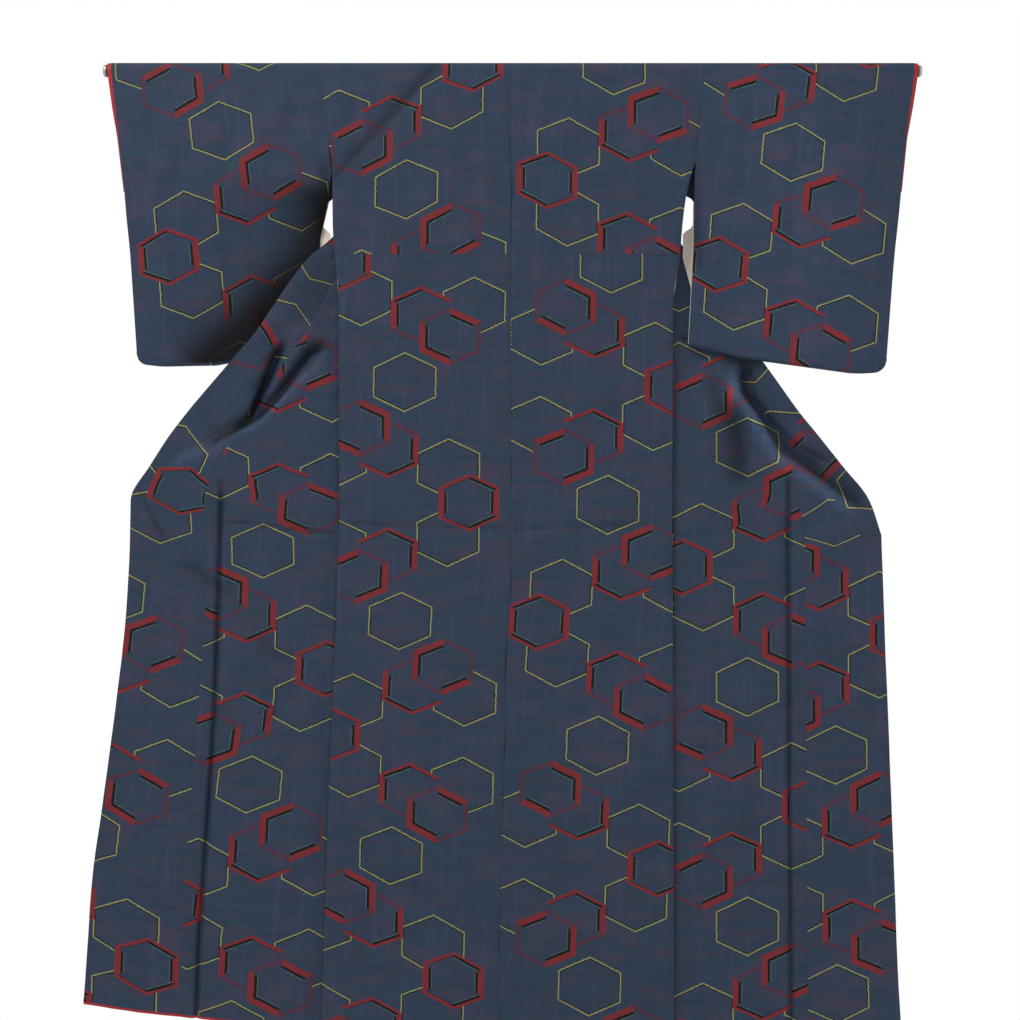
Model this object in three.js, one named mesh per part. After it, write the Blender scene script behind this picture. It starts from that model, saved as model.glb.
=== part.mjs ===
// A lined kimono hung over a rod, its back to -Y and both fronts drawn out to the sides.
// Millimetres, +Z up, X along the rod. The origin is on the rod's axis at the centre back seam.
// "out" is a distance from X = 0 towards the piece's own side, "drop" a distance below the rod's axis,
// and "depth" a place along Y.
import * as THREE from 'three';

// Driving sizes
const CLOTH = 2;
const SEAM = 0.3;
const ROD = { radius: 10, left: -651, right: 656, cap: 5, sides: 24 };
const HANG = 11.8;
const LENGTH = 1553;
const NECK_HALF = 90;
const FRONT_WIDTH = 235;
const OVERLAP = { starts: 230, firstRow: 245, top: 66, tip: 123, hem: 148 };
const COLLAR = { width: 57, ends: 747, corner: 60, neckDrop: 52, columns: 5 };
const FOLD = { starts: 75, leastReach: 6, blend: 60, weakest: 0.15 };
const CUFF = { reach: 6, thin: 1.5, thinFrom: 110, endShare: 0.45, aroundSteps: 6 };
const HEM_EDGE = 4;
const LIFT_STARTS = 760;
const SEAM_STEP = 5;

// Depths of the layers, a row for each level. back is the back panel, start the front's side edge,
// inner the front's first layer where it folds, and bend the radius of that fold.
const LAYERS = [
  { drop: 0, back: -11.8, start: 11.8, inner: 11.8, bend: 4.5 },
  { drop: 165, back: -11.8, start: 11.8, inner: 11.8, bend: 4.5 },
  { drop: 204, back: -11.3, start: 9, inner: 11.8, bend: 4.5 },
  { drop: 250, back: -10.8, start: 3, inner: 11.8, bend: 4.5 },
  { drop: 300, back: -10.3, start: -3.5, inner: 11.2, bend: 4.5 },
  { drop: 380, back: -9.5, start: -7.1, inner: 8.5, bend: 4.5 },
  { drop: 545, back: -8.5, start: -6.1, inner: 2, bend: 3.6 },
  { drop: 747, back: -7.4, start: -5, inner: -3.4, bend: 2.4 },
  { drop: 1553, back: -6, start: -3.6, inner: -2.4, bend: 2.2 },
];

// The centre back seam drifts sideways below its gathered top.
const CENTRE = [
  { drop: 0, x: 0 },
  { drop: 771, x: 0 },
  { drop: 1013, x: -9 },
  { drop: 1335, x: -17 },
  { drop: 1553, x: -19 },
];

// Each side's outlines. seam is the back's side edge, edge the fronts' free edge with its depth,
// lift how far the hem is drawn up, inner and outer the sleeve's two edges, foot its lower edge.
// swing moves the sleeve's inner part in depth, by near and by gapShare of half its gap.
const LEFT = {
  name: 'left',
  sign: -1,
  seam: [
    { drop: 0, out: 307 },
    { drop: 95, out: 296 },
    { drop: 165, out: 287 },
    { drop: 250, out: 286 },
    { drop: 380, out: 276 },
    { drop: 747, out: 276 },
    { drop: 1205, out: 294 },
    { drop: 1553, out: 305 },
  ],
  edge: [
    { drop: 90, out: 86, depth: 20 },
    { drop: 120, out: 145, depth: 20 },
    { drop: 150, out: 194, depth: 20 },
    { drop: 204, out: 243, depth: 18 },
    { drop: 267, out: 288, depth: 8 },
    { drop: 309, out: 336, depth: -1 },
    { drop: 420, out: 410, depth: -4 },
    { drop: 568, out: 537, depth: -3 },
    { drop: 683, out: 612, depth: -2 },
    { drop: 752, out: 613, depth: -1 },
    { drop: 884, out: 620, depth: 0 },
    { drop: 1096, out: 642, depth: 0 },
    { drop: 1323, out: 673, depth: 0 },
    { drop: 1553, out: 688, depth: 0 },
  ],
  lift: [
    { out: 19, up: 0 },
    { out: 304, up: 14 },
    { out: 465, up: 27 },
    { out: 600, up: 41 },
    { out: 688, up: 55 },
  ],
  inner: [
    { drop: 0, out: 307 },
    { drop: 95, out: 296 },
    { drop: 165, out: 288 },
    { drop: 204, out: 293 },
    { drop: 267, out: 309 },
    { drop: 470, out: 316 },
  ],
  outer: [
    { drop: 0, out: 642 },
    { drop: 192, out: 621 },
    { drop: 304, out: 612 },
    { drop: 470, out: 601 },
  ],
  foot: [
    { out: 286, drop: 446 },
    { out: 380, drop: 450 },
    { out: 449, drop: 461 },
    { out: 493, drop: 468 },
    { out: 589, drop: 470 },
    { out: 650, drop: 470 },
  ],
  corner: 17,
  swing: { near: 9.1, gapShare: 1, fullTo: 330, endsAt: 590, from: 165, fullAt: 275 },
};
const RIGHT = {
  name: 'right',
  sign: 1,
  seam: [
    { drop: 0, out: 311 },
    { drop: 143, out: 298 },
    { drop: 165, out: 290 },
    { drop: 204, out: 281 },
    { drop: 250, out: 275 },
    { drop: 300, out: 271 },
    { drop: 380, out: 260 },
    { drop: 747, out: 259 },
    { drop: 1553, out: 262 },
  ],
  edge: [
    { drop: 90, out: 91, depth: 20 },
    { drop: 105, out: 121, depth: 20 },
    { drop: 120, out: 151, depth: 20 },
    { drop: 150, out: 193, depth: 20 },
    { drop: 204, out: 232, depth: 20 },
    { drop: 267, out: 268, depth: 18 },
    { drop: 330, out: 311, depth: 13 },
    { drop: 456, out: 398, depth: 7 },
    { drop: 543, out: 460, depth: 3 },
    { drop: 631, out: 530, depth: 0 },
    { drop: 700, out: 584, depth: -1 },
    { drop: 739, out: 596, depth: 0 },
    { drop: 781, out: 597, depth: 0 },
    { drop: 1459, out: 623, depth: 0 },
    { drop: 1553, out: 628, depth: 0 },
  ],
  lift: [
    { out: 0, up: 0 },
    { out: 262, up: 2 },
    { out: 628, up: 8 },
  ],
  inner: [
    { drop: 0, out: 311 },
    { drop: 143, out: 298 },
    { drop: 165, out: 295 },
    { drop: 290, out: 293 },
    { drop: 440, out: 285 },
  ],
  outer: [
    { drop: 0, out: 648 },
    { drop: 111, out: 634 },
    { drop: 208, out: 625 },
    { drop: 320, out: 615 },
    { drop: 480, out: 603 },
  ],
  foot: [
    { out: 283, drop: 430 },
    { out: 401, drop: 457 },
    { out: 586, drop: 481 },
    { out: 660, drop: 484 },
  ],
  corner: 20,
  swing: { near: -5, gapShare: 0, fullTo: 330, endsAt: 620, from: 165, fullAt: 400 },
};
const SIDES = [LEFT, RIGHT];

// Largest folds of the drawn-out fronts, a row each. push is towards +Y, and half their width is spread.
const FOLDS = {
  left: [
    { fromOut: 352, fromDrop: 395, toOut: 425, toDrop: 580, push: 7, spread: 17 },
    { fromOut: 288, fromDrop: 440, toOut: 446, toDrop: 592, push: -5, spread: 20 },
    { fromOut: 600, fromDrop: 690, toOut: 545, toDrop: 790, push: 3, spread: 14 },
    { fromOut: 465, fromDrop: 680, toOut: 508, toDrop: 1500, push: 3, spread: 16 },
  ],
  right: [
    { fromOut: 366, fromDrop: 470, toOut: 560, toDrop: 690, push: 5, spread: 15 },
    { fromOut: 325, fromDrop: 490, toOut: 455, toDrop: 620, push: -5, spread: 22 },
    { fromOut: 448, fromDrop: 640, toOut: 448, toDrop: 900, push: 3, spread: 16 },
  ],
};

// Sleeve sizes: half the gap between its layers at each level, and its grid.
const SLEEVE_GAP = [
  { drop: 0, half: 11.8 },
  { drop: 165, half: 11.8 },
  { drop: 300, half: 9 },
  { drop: 480, half: 5 },
];
const SLEEVE = { closed: 1.6, closesFrom: 225, closesTo: 300, closesOver: 0.16, steps: 7 };
const SLEEVE_COLUMNS = [0, 0.16, 0.34, 0.52, 0.7, 0.85, 0.94, 0.97, 0.99, 1];

// Grids
const OVER_ROD = [90, 80, 55, 28];
const FIRST_COLUMNS = 3;
const BEND_COLUMNS = 4;
const RETURN_COLUMNS = 6;
const LEAST_STEP = 1.4;
const BACK_COLUMNS = 6;
const OVERLAP_COLUMNS = 3;
const FRONT_DROPS = [
  0, 20, 60, 90, 105, 120, 135, 150, 165, 204, 230, 245, 267, 300, 340, 380, 420, 456, 500, 545,
  590, 635, 690, 747, 752, 884, 1013, 1205, 1335, 1459, 1553,
];

// The collar's sections from the straight band to the back of the neck: where its seam and its free edge
// lie, and how far each reaches up over the rod. A seamOut of null follows the front's slanting edge.
const COLLAR_CORNER = [
  { seamOut: null, seamReach: -20, freeOut: 20, freeReach: -57 },
  { seamOut: 90, seamReach: 0, freeOut: 16, freeReach: -55 },
  { seamOut: 90, seamReach: 5, freeOut: 13, freeReach: -54 },
  { seamOut: 90, seamReach: 9.5, freeOut: 11, freeReach: -54 },
  { seamOut: 90, seamReach: 13.5, freeOut: 10, freeReach: -53 },
  { seamOut: 89.7, seamReach: 17.5, freeOut: 9, freeReach: -53 },
  { seamOut: 45, seamReach: 17.9, freeOut: 5, freeReach: -52 },
];

// The rod cap's outline, as shares of its radius and of its length.
const CAP_PROFILE = [
  { radius: 0, along: 0 },
  { radius: 1, along: 0 },
  { radius: 1, along: 0.5 },
  { radius: 0.75, along: 0.9 },
  { radius: 0, along: 1 },
];

const COLOURS = {
  navy: { color: 0x33445a, roughness: 0.8, metalness: 0 },
  red: { color: 0x8c1f26, roughness: 0.75, metalness: 0 },
  rod: { color: 0x2a211d, roughness: 0.35, metalness: 0 },
  steel: { color: 0xc9ccd0, roughness: 0.3, metalness: 1 },
};

const model = new THREE.Group();

function clamp(t, low, high) {
  return Math.min(Math.max(t, low), high);
}

function smooth(t) {
  const clamped = clamp(t, 0, 1);
  return clamped * clamped * (3 - 2 * clamped);
}

function mix(a, b, t) {
  return a + (b - a) * t;
}

// Reads a named column of a table at a place between its rows.
function read(table, key, at, column) {
  let last = table[0];
  for (const row of table) {
    if (row[key] >= at) {
      const t = row === last ? 0 : (at - last[key]) / (row[key] - last[key]);
      return mix(last[column], row[column], t);
    }
    last = row;
  }
  return last[column];
}

// Cloth that lies on the rod: reach 0 is where it leaves the rod on the far side, a positive reach
// runs over the top towards the near side, and a negative one hangs down on the far side.
function overRod(x, reach) {
  if (reach <= 0) return new THREE.Vector3(x, HANG, reach);
  const angle = reach / HANG;
  return new THREE.Vector3(x, HANG * Math.cos(angle), HANG * Math.sin(angle));
}

// Places a point, and draws the lower part of the garment up towards its outer corners.
function place(side, out, depth, drop) {
  const share = Math.max(0, (drop - LIFT_STARTS) / (LENGTH - LIFT_STARTS));
  const lift = read(side.lift, 'out', out, 'up') * share;
  return new THREE.Vector3(side.sign * out, depth, lift - drop);
}

// Makes a closed wall of even thickness from a grid of middle points. kept says which cells are cloth,
// and a closed grid joins its last row to its first. first and last give, for each row, the cloth's
// direction across the seams at the grid's sides, so that both pieces at a seam end along one line.
function wall(grid, { closed = false, kept = () => true, first = null, last = null } = {}) {
  const rows = grid.length;
  const columns = grid[0].length;
  const cellRows = closed ? rows : rows - 1;
  const wrap = (i) => (closed ? (i + rows) % rows : clamp(i, 0, rows - 1));
  const isKept = (i, j) => {
    if (j < 0 || j >= columns - 1) return false;
    if (!closed && (i < 0 || i >= cellRows)) return false;
    return kept(wrap(i), j);
  };
  const acrossAt = (i, j) => {
    if (j === 0 && first) return first[i];
    if (j === columns - 1 && last) return last[i];
    return grid[i][clamp(j + 1, 0, columns - 1)].clone().sub(grid[i][clamp(j - 1, 0, columns - 1)]);
  };
  const positions = [];
  const numbers = new Map();
  const vertex = (face, i, j) => {
    const key = `${face}:${wrap(i)}:${j}`;
    if (!numbers.has(key)) {
      const along = grid[wrap(i + 1)][j].clone().sub(grid[wrap(i - 1)][j]);
      const across = acrossAt(wrap(i), j);
      const normal = along.cross(across).normalize().multiplyScalar((face * CLOTH) / 2);
      const point = grid[wrap(i)][j].clone().add(normal);
      numbers.set(key, positions.length / 3);
      positions.push(point.x, point.y, point.z);
    }
    return numbers.get(key);
  };
  const index = [];
  const quad = (a, b, c, d) => index.push(a, b, c, a, c, d);
  for (let i = 0; i < cellRows; i += 1) {
    for (let j = 0; j < columns - 1; j += 1) {
      if (!isKept(i, j)) continue;
      const corners = (face) => [
        vertex(face, i, j),
        vertex(face, i + 1, j),
        vertex(face, i + 1, j + 1),
        vertex(face, i, j + 1),
      ];
      const top = corners(1);
      const under = corners(-1);
      quad(...top);
      quad(...[...under].reverse());
      const beside = [isKept(i, j - 1), isKept(i + 1, j), isKept(i, j + 1), isKept(i - 1, j)];
      beside.forEach((neighbour, k) => {
        if (neighbour) return;
        const next = (k + 1) % 4;
        const rim = [top[k], under[k], under[next], top[next]];
        quad(...(k < 2 ? rim : [rim[1], rim[2], rim[3], rim[0]]));
      });
    }
  }
  const geometry = new THREE.BufferGeometry();
  geometry.setAttribute('position', new THREE.Float32BufferAttribute(positions, 3));
  geometry.setIndex(index);
  if (volume(positions, index) < 0) {
    for (let k = 0; k < index.length; k += 3) {
      const second = index[k + 1];
      index[k + 1] = index[k + 2];
      index[k + 2] = second;
    }
    geometry.setIndex(index);
  }
  return geometry;
}

function volume(positions, index) {
  const corner = (k) => new THREE.Vector3().fromArray(positions, index[k] * 3);
  let sum = 0;
  for (let k = 0; k < index.length; k += 3) {
    sum += corner(k).dot(corner(k + 1).cross(corner(k + 2)));
  }
  return sum / 6;
}

function add(name, geometry, colour) {
  const material = new THREE.MeshStandardMaterial({ ...COLOURS[colour], name: colour });
  const mesh = new THREE.Mesh(geometry, material);
  mesh.name = name;
  model.add(mesh);
}

// Widths of the front, overlap and collar along one level of cloth.
function frontEdge(side, drop) {
  const atShoulder = side.seam[0].out - NECK_HALF;
  return mix(atShoulder, FRONT_WIDTH, Math.min(drop / OVERLAP.starts, 1));
}

function overlapWidth(drop) {
  if (drop <= COLLAR.ends) {
    const share = Math.max(0, (drop - OVERLAP.starts) / (COLLAR.ends - OVERLAP.starts));
    return OVERLAP.top * share;
  }
  const share = (drop - COLLAR.ends) / (LENGTH - COLLAR.ends);
  return mix(OVERLAP.top, OVERLAP.top + OVERLAP.hem - OVERLAP.tip, share);
}

// How far the large folds push the cloth at one place. Each is strongest midway and weakest at its ends.
function foldPush(side, out, drop) {
  let push = 0;
  for (const fold of FOLDS[side.name]) {
    const alongX = fold.toOut - fold.fromOut;
    const alongZ = fold.toDrop - fold.fromDrop;
    const dot = (out - fold.fromOut) * alongX + (drop - fold.fromDrop) * alongZ;
    const near = clamp(dot / (alongX ** 2 + alongZ ** 2), 0, 1);
    const away = Math.hypot(out - fold.fromOut - near * alongX, drop - fold.fromDrop - near * alongZ);
    const strength = Math.sin(Math.PI * clamp(near, FOLD.weakest, 1 - FOLD.weakest));
    push += fold.push * strength * Math.exp(-((away / fold.spread) ** 2));
  }
  return push;
}

// One level of a front: from the side edge towards the centre behind the back, round its fold,
// and out again past the side edge to the free edge.
function frontLevel(side, drop) {
  const seam = read(side.seam, 'drop', drop, 'out');
  const width = frontEdge(side, drop) + overlapWidth(drop) + COLLAR.width;
  const level = {};
  for (const column of ['start', 'inner', 'bend']) level[column] = read(LAYERS, 'drop', drop, column);
  if (drop < FOLD.starts) {
    const flat = (length) => place(side, seam - length, level.start, drop);
    return { foldAt: Infinity, point: flat };
  }
  const edge = read(side.edge, 'drop', drop, 'out');
  const edgeDepth = read(side.edge, 'drop', drop, 'depth');
  const turn = Math.PI * level.bend;
  const centre = Math.min((seam + edge + turn - width) / 2, seam - FOLD.leastReach);
  const foldAt = seam - centre;
  const first = (out) => mix(level.start, level.inner, smooth((seam - out) / foldAt));
  const point = (length) => {
    if (length <= foldAt) return place(side, seam - length, first(seam - length), drop);
    if (length < foldAt + turn) {
      const angle = (length - foldAt) / level.bend;
      const depth = level.inner + level.bend * (1 - Math.cos(angle));
      return place(side, centre - level.bend * Math.sin(angle), depth, drop);
    }
    const share = (length - foldAt - turn) / (width - foldAt - turn);
    const out = mix(centre, edge, share);
    if (out <= seam) return place(side, out, first(out) + 2 * level.bend, drop);
    const beyond = smooth((out - seam) / clamp(edge - seam, 1, FOLD.blend));
    const depth = mix(level.start + 2 * level.bend, edgeDepth, beyond);
    return place(side, out, depth + beyond * foldPush(side, out, drop), drop);
  };
  return { foldAt, turn, point };
}

// The cloth's direction across a seam at one level.
function across(level, length) {
  return level.point(length + SEAM_STEP).sub(level.point(length - SEAM_STEP));
}

function evenly(from, to, steps) {
  return Array.from({ length: steps + 1 }, (_, k) => mix(from, to, k / steps));
}

// The front's columns follow its fold down, and lie evenly where the fold isn't in the front.
function frontColumns(side, drop) {
  const level = frontLevel(side, drop);
  const last = frontEdge(side, drop) - SEAM / 2;
  const steps = FIRST_COLUMNS + BEND_COLUMNS + RETURN_COLUMNS;
  if (level.foldAt + 2 * LEAST_STEP > last) return evenly(0, last, steps);
  const bendEnd = level.foldAt + level.turn;
  const lengths = [
    ...evenly(0, level.foldAt, FIRST_COLUMNS),
    ...evenly(level.foldAt, bendEnd, BEND_COLUMNS).slice(1),
    ...evenly(bendEnd, Math.max(last, bendEnd), RETURN_COLUMNS).slice(1),
  ];
  return lengths.map((length, k) => Math.min(length, last - (steps - k) * LEAST_STEP));
}

function addFront(side) {
  const grid = OVER_ROD.map((angle) => {
    const reach = HANG * THREE.MathUtils.degToRad(angle) - (angle === 90 ? SEAM / 2 : 0);
    return frontColumns(side, 0).map((length) => overRod(side.sign * (side.seam[0].out - length), reach));
  });
  const last = grid.map(() => new THREE.Vector3(-side.sign, 0, 0));
  for (const drop of FRONT_DROPS) {
    const level = frontLevel(side, drop);
    grid.push(frontColumns(side, drop).map((length) => level.point(length)));
    last.push(across(level, frontEdge(side, drop)));
  }
  add(`front_${side.name}`, wall(grid, { last }), 'navy');
}

function addBack(side) {
  const seamDrops = [...side.seam, ...CENTRE, ...LAYERS].map((row) => row.drop);
  const drops = [...new Set(seamDrops)].sort((a, b) => a - b);
  const columns = (seam, centre) => evenly(seam, side.sign * centre + SEAM / 2, BACK_COLUMNS);
  const grid = OVER_ROD.map((angle) => {
    const reach = HANG * THREE.MathUtils.degToRad(180 - angle) + (angle === 90 ? SEAM / 2 : 0);
    return columns(side.seam[0].out, 0).map((out) => overRod(side.sign * out, reach));
  });
  for (const drop of drops) {
    const seam = read(side.seam, 'drop', drop, 'out');
    const depth = read(LAYERS, 'drop', drop, 'back');
    const centre = read(CENTRE, 'drop', drop, 'x');
    grid.push(columns(seam, centre).map((out) => place(side, out, depth, drop)));
  }
  add(`back_${side.name}`, wall(grid), 'navy');
}

function overlapColumns(side, drop) {
  const from = frontEdge(side, drop);
  const to = from + overlapWidth(drop);
  const inside = evenly(from + SEAM / 2, to - SEAM / 2, OVERLAP_COLUMNS);
  const outside = evenly(to - SEAM / 2, to + COLLAR.width, 2).slice(1);
  return [...inside, ...outside];
}

// The overlap widens from a point at the collar, and past the collar's end it reaches the free edge.
function addOverlap(side) {
  const below = COLLAR.ends + SEAM;
  const drops = [...FRONT_DROPS.filter((drop) => drop >= OVERLAP.firstRow), below];
  drops.sort((a, b) => a - b);
  const first = [];
  const grid = drops.map((drop) => {
    const level = frontLevel(side, drop);
    first.push(across(level, frontEdge(side, drop)));
    return overlapColumns(side, drop).map((length) => level.point(length));
  });
  const kept = (i, j) => j < OVERLAP_COLUMNS || drops[i] >= below;
  add(`overlap_${side.name}`, wall(grid, { kept, first }), 'navy');
}

// Places across the collar at the neck: most of its columns bend round the rod where it crosses the top.
function neckReaches(seamReach, freeReach) {
  if (seamReach <= 0) return evenly(seamReach, freeReach, COLLAR.columns);
  return [...evenly(seamReach, 0, COLLAR.columns - 2), ...evenly(0, freeReach, 2).slice(1)];
}

// The collar is one band: up the left front, round the back of the neck and down the right front.
function collarHalf(side) {
  const sections = [];
  const drops = FRONT_DROPS.filter((drop) => drop >= COLLAR.corner && drop <= COLLAR.ends).reverse();
  for (const drop of drops) {
    const level = frontLevel(side, drop);
    const from = frontEdge(side, drop) + overlapWidth(drop) + SEAM / 2;
    const to = from + COLLAR.width - SEAM / 2;
    sections.push(evenly(from, to, COLLAR.columns).map((length) => level.point(length)));
  }
  for (const row of COLLAR_CORNER) {
    const shoulder = side.seam[0].out - frontEdge(side, 0);
    const low = read(side.seam, 'drop', COLLAR.corner, 'out') - frontEdge(side, COLLAR.corner);
    const seamOut = row.seamOut ?? mix(shoulder, low, -row.seamReach / COLLAR.corner);
    const whole = row.seamReach - row.freeReach;
    const section = neckReaches(row.seamReach, row.freeReach).map((reach) => {
      const out = mix(seamOut - SEAM / 2, row.freeOut, (row.seamReach - reach) / whole);
      return overRod(side.sign * out, reach);
    });
    sections.push(section);
  }
  return sections;
}

function addCollar() {
  const top = HANG * Math.PI / 2 - 2 * SEAM;
  const middle = neckReaches(top, -COLLAR.neckDrop).map((reach) => overRod(0, reach));
  const grid = [...collarHalf(LEFT), middle, ...collarHalf(RIGHT).reverse()];
  add('collar', wall(grid), 'navy');
}

// A sleeve is a flat tube over the rod, open at its mouth and at its inner edge, with a rounded lower corner.
function sleevePoint(side, across, near, share) {
  const inner = read(side.inner, 'drop', 0, 'out');
  const outer = read(side.outer, 'drop', 0, 'out');
  const roughOut = mix(inner, outer, across);
  const foot = read(side.foot, 'out', roughOut, 'drop');
  const fromEdge = (1 - across) * (outer - inner);
  const cut = Math.max(0, side.corner - fromEdge);
  const rounding = side.corner - Math.sqrt(side.corner ** 2 - cut ** 2);
  const drop = share * (foot - rounding);
  const from = read(side.inner, 'drop', drop, 'out') + SEAM;
  const out = mix(from, read(side.outer, 'drop', drop, 'out'), across);
  const closing = smooth((drop - SLEEVE.closesFrom) / (SLEEVE.closesTo - SLEEVE.closesFrom));
  const atMouth = smooth((across - 1 + SLEEVE.closesOver) / SLEEVE.closesOver);
  const open = read(SLEEVE_GAP, 'drop', drop, 'half');
  const half = mix(open, SLEEVE.closed, closing * atMouth);
  const swing = side.swing;
  const inward = 1 - smooth((out - swing.fullTo) / (swing.endsAt - swing.fullTo));
  const down = smooth((drop - swing.from) / (swing.fullAt - swing.from));
  const middle = (swing.near + swing.gapShare * open) * inward * down;
  return { out, depth: middle + (near ? -half : half), drop, middle, half };
}

function addSleeve(side) {
  const grid = [];
  const shares = evenly(0, 1, SLEEVE.steps);
  const layer = (near, share) => SLEEVE_COLUMNS.map((across) => {
    const p = sleevePoint(side, across, near, share);
    return new THREE.Vector3(side.sign * p.out, p.depth, -p.drop);
  });
  for (const angle of [...OVER_ROD].reverse()) {
    const reach = HANG * THREE.MathUtils.degToRad(angle);
    grid.push(SLEEVE_COLUMNS.map((across) => rodEdge(side, across, reach)));
  }
  for (const angle of OVER_ROD.slice(1)) {
    const reach = HANG * THREE.MathUtils.degToRad(180 - angle);
    grid.push(SLEEVE_COLUMNS.map((across) => rodEdge(side, across, reach)));
  }
  for (const share of shares) grid.push(layer(true, share));
  grid.push(SLEEVE_COLUMNS.map((across) => {
    const p = sleevePoint(side, across, true, 1);
    return new THREE.Vector3(side.sign * p.out, p.middle, -p.drop - p.half);
  }));
  for (const share of [...shares].reverse()) grid.push(layer(false, share));
  add(`sleeve_${side.name}`, wall(grid, { closed: true }), 'navy');
}

function rodEdge(side, across, reach) {
  const p = sleevePoint(side, across, true, 0);
  return overRod(side.sign * p.out, reach);
}

// The lining's red edge shows as a narrow strip outside each sleeve mouth.
function addMouthEdge(side) {
  const shares = evenly(0, 1, SLEEVE.steps).filter((share) => share < CUFF.endShare);
  const around = evenly(0, HANG * Math.PI, CUFF.aroundSteps + 2).slice(1, -1);
  const reachOut = (drop) => mix(CUFF.reach, CUFF.thin, smooth(drop / CUFF.thinFrom));
  const rows = [];
  const addRow = (point, drop) => {
    const ends = [SEAM, SEAM + reachOut(drop)];
    rows.push(ends.map((by) => point.clone().setX(point.x + side.sign * by)));
  };
  const onLayer = (near) => (share) => {
    const p = sleevePoint(side, 1, near, share);
    addRow(new THREE.Vector3(side.sign * p.out, p.depth, -p.drop), p.drop);
  };
  [...shares].reverse().forEach(onLayer(false));
  for (const reach of around) addRow(rodEdge(side, 1, reach), 0);
  shares.forEach(onLayer(true));
  add(`mouth_edge_${side.name}`, wall(rows), 'red');
}

// The lining's red edge also shows below the hem, under the back and under each front.
function lowered(point, by) {
  return point.clone().setZ(point.z - by);
}

function addHemEdges() {
  const depth = read(LAYERS, 'drop', LENGTH, 'back');
  const back = [];
  for (const side of SIDES) {
    const seam = read(side.seam, 'drop', LENGTH, 'out');
    const centre = side.sign * read(CENTRE, 'drop', LENGTH, 'x') + SEAM / 2;
    const points = evenly(seam, centre, BACK_COLUMNS).map((out) => place(side, out, depth, LENGTH));
    back.push(...(side === LEFT ? points : points.reverse().slice(1)));
  }
  add('hem_edge_back', stripBelow(back), 'red');
  for (const side of SIDES) {
    const level = frontLevel(side, LENGTH);
    const lengths = [...frontColumns(side, LENGTH), ...overlapColumns(side, LENGTH)];
    const points = lengths.map((length) => level.point(length));
    add(`hem_edge_front_${side.name}`, stripBelow(points), 'red');
  }
}

function stripBelow(points) {
  return wall([points.map((p) => lowered(p, SEAM)), points.map((p) => lowered(p, HEM_EDGE))]);
}

// The rod, with a plain rounded cap on each end.
function addRod() {
  const bar = new THREE.CylinderGeometry(ROD.radius, ROD.radius, ROD.right - ROD.left, ROD.sides);
  bar.rotateZ(Math.PI / 2);
  bar.translate((ROD.left + ROD.right) / 2, 0, 0);
  add('rod', bar, 'rod');
  for (const [name, x, sign] of [['left', ROD.left, -1], ['right', ROD.right, 1]]) {
    const profile = CAP_PROFILE.map((row) => new THREE.Vector2(ROD.radius * row.radius, ROD.cap * row.along));
    const cap = new THREE.LatheGeometry(profile, ROD.sides);
    cap.rotateZ(-sign * Math.PI / 2);
    cap.translate(x + sign * SEAM, 0, 0);
    add(`rod_cap_${name}`, cap, 'steel');
  }
}

addRod();
for (const side of SIDES) {
  addBack(side);
  addFront(side);
  addOverlap(side);
  addSleeve(side);
  addMouthEdge(side);
}
addCollar();
addHemEdges();

export default model;
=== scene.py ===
"""A lined kimono hung over a rod, seen from its back, with both fronts drawn out to the sides.

Metres, +Z up, X along the rod, the garment's back to -Y. "out" is a distance from X = 0 towards a
piece's own side, "drop" a distance below the rod's axis, and "depth" a place along Y.
"""
import math
from functools import partialmethod
from types import SimpleNamespace as Sizes

import bpy
import numpy as np
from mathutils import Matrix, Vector


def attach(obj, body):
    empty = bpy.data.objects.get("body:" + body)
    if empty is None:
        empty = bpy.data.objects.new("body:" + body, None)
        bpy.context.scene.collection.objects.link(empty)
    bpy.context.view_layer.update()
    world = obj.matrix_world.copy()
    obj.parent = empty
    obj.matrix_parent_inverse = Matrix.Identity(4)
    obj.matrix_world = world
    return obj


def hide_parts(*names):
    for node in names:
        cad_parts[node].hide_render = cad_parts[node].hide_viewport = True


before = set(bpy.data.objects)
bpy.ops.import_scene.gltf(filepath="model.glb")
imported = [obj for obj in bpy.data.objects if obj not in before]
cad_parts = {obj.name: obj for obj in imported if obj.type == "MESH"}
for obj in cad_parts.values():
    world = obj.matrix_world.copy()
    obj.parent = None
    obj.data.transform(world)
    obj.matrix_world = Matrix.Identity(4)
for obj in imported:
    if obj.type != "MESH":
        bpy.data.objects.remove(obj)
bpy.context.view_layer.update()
bpy.ops.object.select_all(action="DESELECT")

MM = 1000


def pairs(*values):
    """Pairs of metres from a row of millimetres."""
    return (np.array(values) / MM).reshape(-1, 2)


# Driving sizes
CLOTH = 0.0018
HANG = 0.0118
LENGTH = 1.553
NECK_HALF = 0.090
FRONT_WIDTH = 0.235
OVERLAP = Sizes(starts=0.230, first_row=0.245, top=0.066, hem=0.091, pattern_from=0.668)
COLLAR = Sizes(width=0.057, ends=0.747, corner=0.060, neck_drop=0.052)
FOLD = Sizes(starts=0.075, least_reach=0.006, blend=0.060, weakest=0.15)
HEM_EDGE = 0.004
SHOWN_WITHIN = 0.012
LIFT_STARTS = 0.760
ROW_STEP = 0.005
TUCK = 0.296
TUCK_HEIGHT = 0.0001
TUCK_ROWS = (TUCK - 0.0002, TUCK + 0.0002)
BACK_PROUD = 0.0022
BACK_EASE = Sizes(rod=0.05, above_rod=0.01, tuck=0.006, past_side=0.002, side=0.012)
SLEEVE_EASE = Sizes(rod=0.06, foot=0.03, mouth=0.05, past_seam=0.01, seam=0.04)
SEAM_DIP = 0.0014
SEAM_REACH = 0.0030
LIP_HALF = 0.0008
LIP_SIDES = 8
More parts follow.
